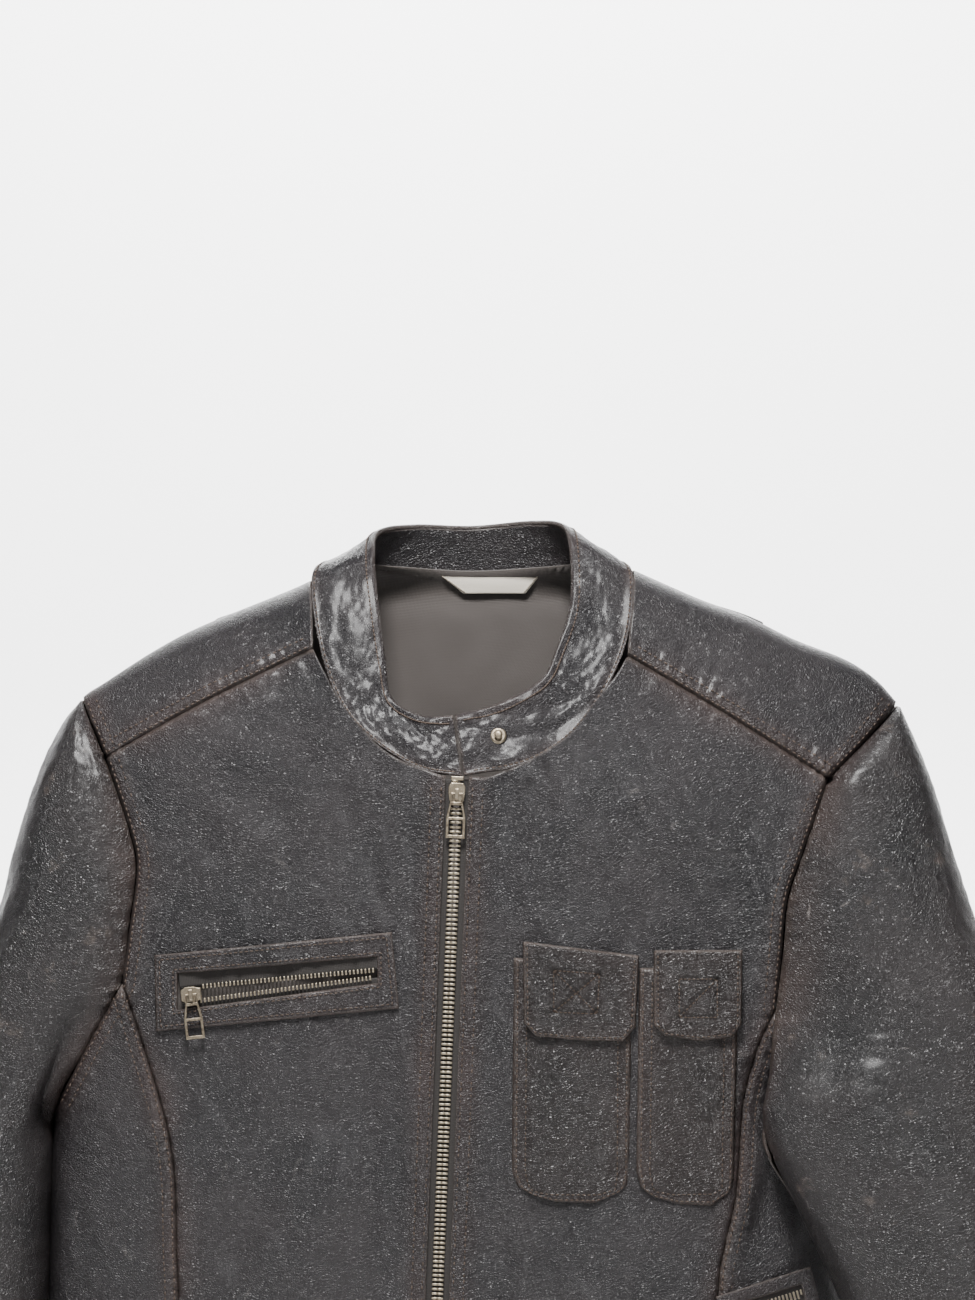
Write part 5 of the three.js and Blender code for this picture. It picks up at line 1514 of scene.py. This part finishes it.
# ---- linings, label and snap ----
def linings():
    """Cloth inside the shell, and leather facings beside the zip."""
    hem = -556

    def inside(at, sign):
        def place(q):
            x, z = q[:, 0], q[:, 1]
            t = np.clip((z + 60) / (hem + 60), 0, 1)
            deep = LEATHER + mix(2.9, 0.8, np.maximum(smooth(0.86, 1, t), smooth(-25, -5, z))) + 0.5
            deep = deep + 0.5 * noise(x / 40, z / 70, 66)
            return np.stack([x, at(x, z) + sign * deep, z], axis=1)
        return place
    top = spline([(-186, -62), (-130, -26), (-97, -6), (-70, 4), (-55, 4), (-10, 1.5), (35, 4),
                  (55, 5), (80, -3), (120, -28), (178, -68)])
    shell("back_lining", (top, spline([(-160, hem), (110, hem)]),
                          joined([(-186, -62), (-186, -200), (-166, -300)], [(-166, -300), (-160, hem)]),
                          joined([(178, -68), (146, -200), (120, -300)], [(120, -300), (110, hem)])),
          inside(back_y, -1), "lining_back", 4.5, material="lining", thick=0.6,
          hangs_from=["collar_facing"])
    shell("front_right_lining", (
        spline([(-184, -116), (-110, -88), (-60, -124)]), spline([(-160, hem), (-62, hem)]),
        joined([(-184, -116), (-186, -200), (-166, -300)], [(-166, -300), (-160, hem)]),
        spline([(-60, -124), (-62, hem)])), inside(front_y, 1), "lining_front_right", 4.5,
        material="lining", thick=-0.6, hangs_from=["zip_facing_right"])
    shell("front_left_lining", (
        spline([(26, -124), (84, -90), (158, -122)]), spline([(16, hem), (110, hem)]),
        spline([(26, -124), (16, hem)]),
        joined([(158, -122), (146, -200), (120, -300)], [(120, -300), (110, hem)])),
        inside(front_y, 1), "lining_front_left", 4.5, material="lining", thick=-0.6,
        hangs_from=["zip_facing_left"])
    low = hem - 8
    for label, a, b, c, d in (("right", (-58, -112), (-40, -114), (-60, low), (-56, low)),
                              ("left", (4, -116), (24, -114), (-14, low), (14, low))):
        shell(f"zip_facing_{label}_leather", (spline([a, b]), spline([c, d]), spline([a, c]),
                                              spline([b, d])),
              inside(front_y, 1), f"zip_facing_{label}", 4.0, thick=-LEATHER)


def neck_label():
    """The woven label that is also the hanging loop."""
    def place(s, t):
        left, right = mix(-29, -15, t), mix(29, 20, t)
        x = mix(left, right, s)
        z = mix(0.2, -11, t) - 0.5 * np.sin(s * math.pi) * (1 - t)
        y = -0.25 - 0.5 * np.sin(s * math.pi) * np.sin(t * math.pi) + 0.12 * noise(x / 9, z / 6, 3)
        return np.stack([x, y, z], axis=1)
    obj = grid_piece("woven_label", 60, 16, place, 0.5, MATERIAL["label"], (0.058, 0.011))
    finish_piece(obj, "hang_loop_label")
    rows = []
    for line in ([(-27, -1.2), (-14.2, -10.2)], [(27, -1.2), (19.2, -10.2)]):
        rows += frames_on(spline(line, 30), lambda x, z: np.full(np.shape(x), -0.45), 1.6)
    finish_piece(copies("label_stitches", SMALL_STITCH, rows, MATERIAL["pale_thread"]))


def snap_stud():
    """A ring-topped stud on the collar's overlapping end."""
    a, t = np.array([0.955]), np.array([0.55])
    n = -collar_inwards(a, t)[0]
    seat = collar_place(a, t * ROLL_START)[0]
    bm = bmesh.new()
    profile = [(0, -0.4), (4.6, -0.4), (4.7, 0.1), (4.4, 0.55), (3.6, 0.95), (2.9, 0.95), (2.3, 0.7),
               (1.9, 0.8), (1.75, 1.5), (2.1, 2.1), (2.25, 2.6), (1.95, 3.1), (1.2, 3.4), (0, 3.45)]
    verts = [bm.verts.new((r * MM, 0, z * MM)) for r, z in profile]
    edges = [bm.edges.new(pair) for pair in zip(verts, verts[1:])]
    bmesh.ops.spin(bm, geom=verts + edges, cent=(0, 0, 0), axis=(0, 0, 1), angle=math.tau,
                   steps=32, use_merge=True, use_duplicate=False)
    bmesh.ops.remove_doubles(bm, verts=bm.verts, dist=1e-7)
    bmesh.ops.recalc_face_normals(bm, faces=bm.faces)
    centre = seat + n * 0.3
    bmesh.ops.transform(bm, matrix=placed(*axes(centre, (1, 0, 0), n)), verts=bm.verts)
    finish_piece(to_object("snap_stud_metal", bm, MATERIAL["brass"]), "snap_stud")


# ---- build ----
front_panels()
side_panel("side_right_leather", -1, PRINCESS_R, PIT_R, "side_panel_right")
side_panel("side_left_leather", 1, PRINCESS_L, PIT_L, "side_panel_left")
back_panels()
yoke("yoke_right_leather", -1, YOKE_R, [(-221, -84), (-226.5, -71.5), (-227, -69)],
     [-101, (-97, -6), (-86, 2), (-70, 3), (-55, 1), (-30, -2)], "yoke_right")
yoke("yoke_left_leather", 1, YOKE_L, [(209, -92), (225.5, -75), (227, -72)],
     [81, (77, -1), (67, 4), (50, 2.5), (35, 1), (12, -2)], "yoke_left")
sleeve(-1, "right")
sleeve(1, "left")
collar()
seam_stitches()
collar_stitches()
main_zip()
chest_pocket()
patch_pockets()
lower_pocket("left", [(134, -409), (172, -398)])
lower_pocket("right", [(-186, -432), (-220, -420)])
linings()
neck_label()
snap_stud()


# ---- floor, light and camera ----
def studio():
    """A pale floor that rises into a wall, a weak sky and four lamps."""
    pale, net, shader, place = new_material("pale studio")
    grain = net.add("TexNoise", {"Vector": place.outputs["Object"], "Scale": 3.0})
    tone = net.blend(grain.outputs["Fac"], (0.86, 0.86, 0.86, 1), (0.9, 0.9, 0.9, 1))
    net.tree.links.new(tone, shader.inputs["Base Color"])
    shader.inputs["Roughness"].default_value = 0.9
    bm = bmesh.new()
    half_wide = 6
    verts = [bm.verts.new((-half_wide, y, z))
             for y, z in ((-6, -0.72), (5.2, -0.72), (5.6, -0.55), (5.8, -0.1), (5.8, 5))]
    edges = [bm.edges.new(pair) for pair in zip(verts, verts[1:])]
    grown = bmesh.ops.extrude_edge_only(bm, edges=edges)["geom"]
    bmesh.ops.translate(bm, vec=(2 * half_wide, 0, 0),
                        verts=[v for v in grown if isinstance(v, bmesh.types.BMVert)])
    bmesh.ops.recalc_face_normals(bm, faces=bm.faces)
    to_object("studio_floor", bm, pale)
    world = bpy.data.worlds.new("soft sky")
    bpy.context.scene.world = world
    world.use_nodes = True
    sky = world.node_tree.nodes["Background"]
    sky.inputs[0].default_value = (1, 1, 1, 1)
    sky.inputs[1].default_value = 0.07
    for name, place, size, power, colour in (
            ("key", (-0.12, -0.95, 1.15), 0.4, 62, (1.0, 0.99, 0.98)),
            ("fill", (0.3, -3.4, 0.35), 0.9, 14, (0.97, 0.98, 1.0)),
            ("top", (0.0, -0.3, 1.6), 0.6, 16, (1, 1, 1)),
            ("wall", (0, 4.4, 2.9), 2.6, 800, (1, 1, 1))):
        lamp = bpy.data.lights.new(name, "AREA")
        lamp.size, lamp.energy, lamp.color = size, power, colour
        obj = bpy.data.objects.new(name, lamp)
        bpy.context.scene.collection.objects.link(obj)
        obj.location = place
        aim = Vector((0, 5.8, 0.2)) if name == "wall" else Vector((0, -0.05, -0.2))
        obj.rotation_euler = (aim - Vector(place)).to_track_quat("-Z", "Y").to_euler()


def camera():
    """Level with the chest, far off, so that the front is seen almost without perspective."""
    data = bpy.data.cameras.new("camera")
    obj = bpy.data.objects.new("camera", data)
    bpy.context.scene.collection.objects.link(obj)
    distance, seen_height, film = 4.0, 0.715, 36
    obj.location = (-0.0014, FACE_Y * MM - distance, -0.0429)
    obj.rotation_euler = (math.pi / 2, 0, 0)
    data.lens = film * distance / seen_height
    data.clip_end = 50
    bpy.context.scene.camera = obj


studio()
camera()
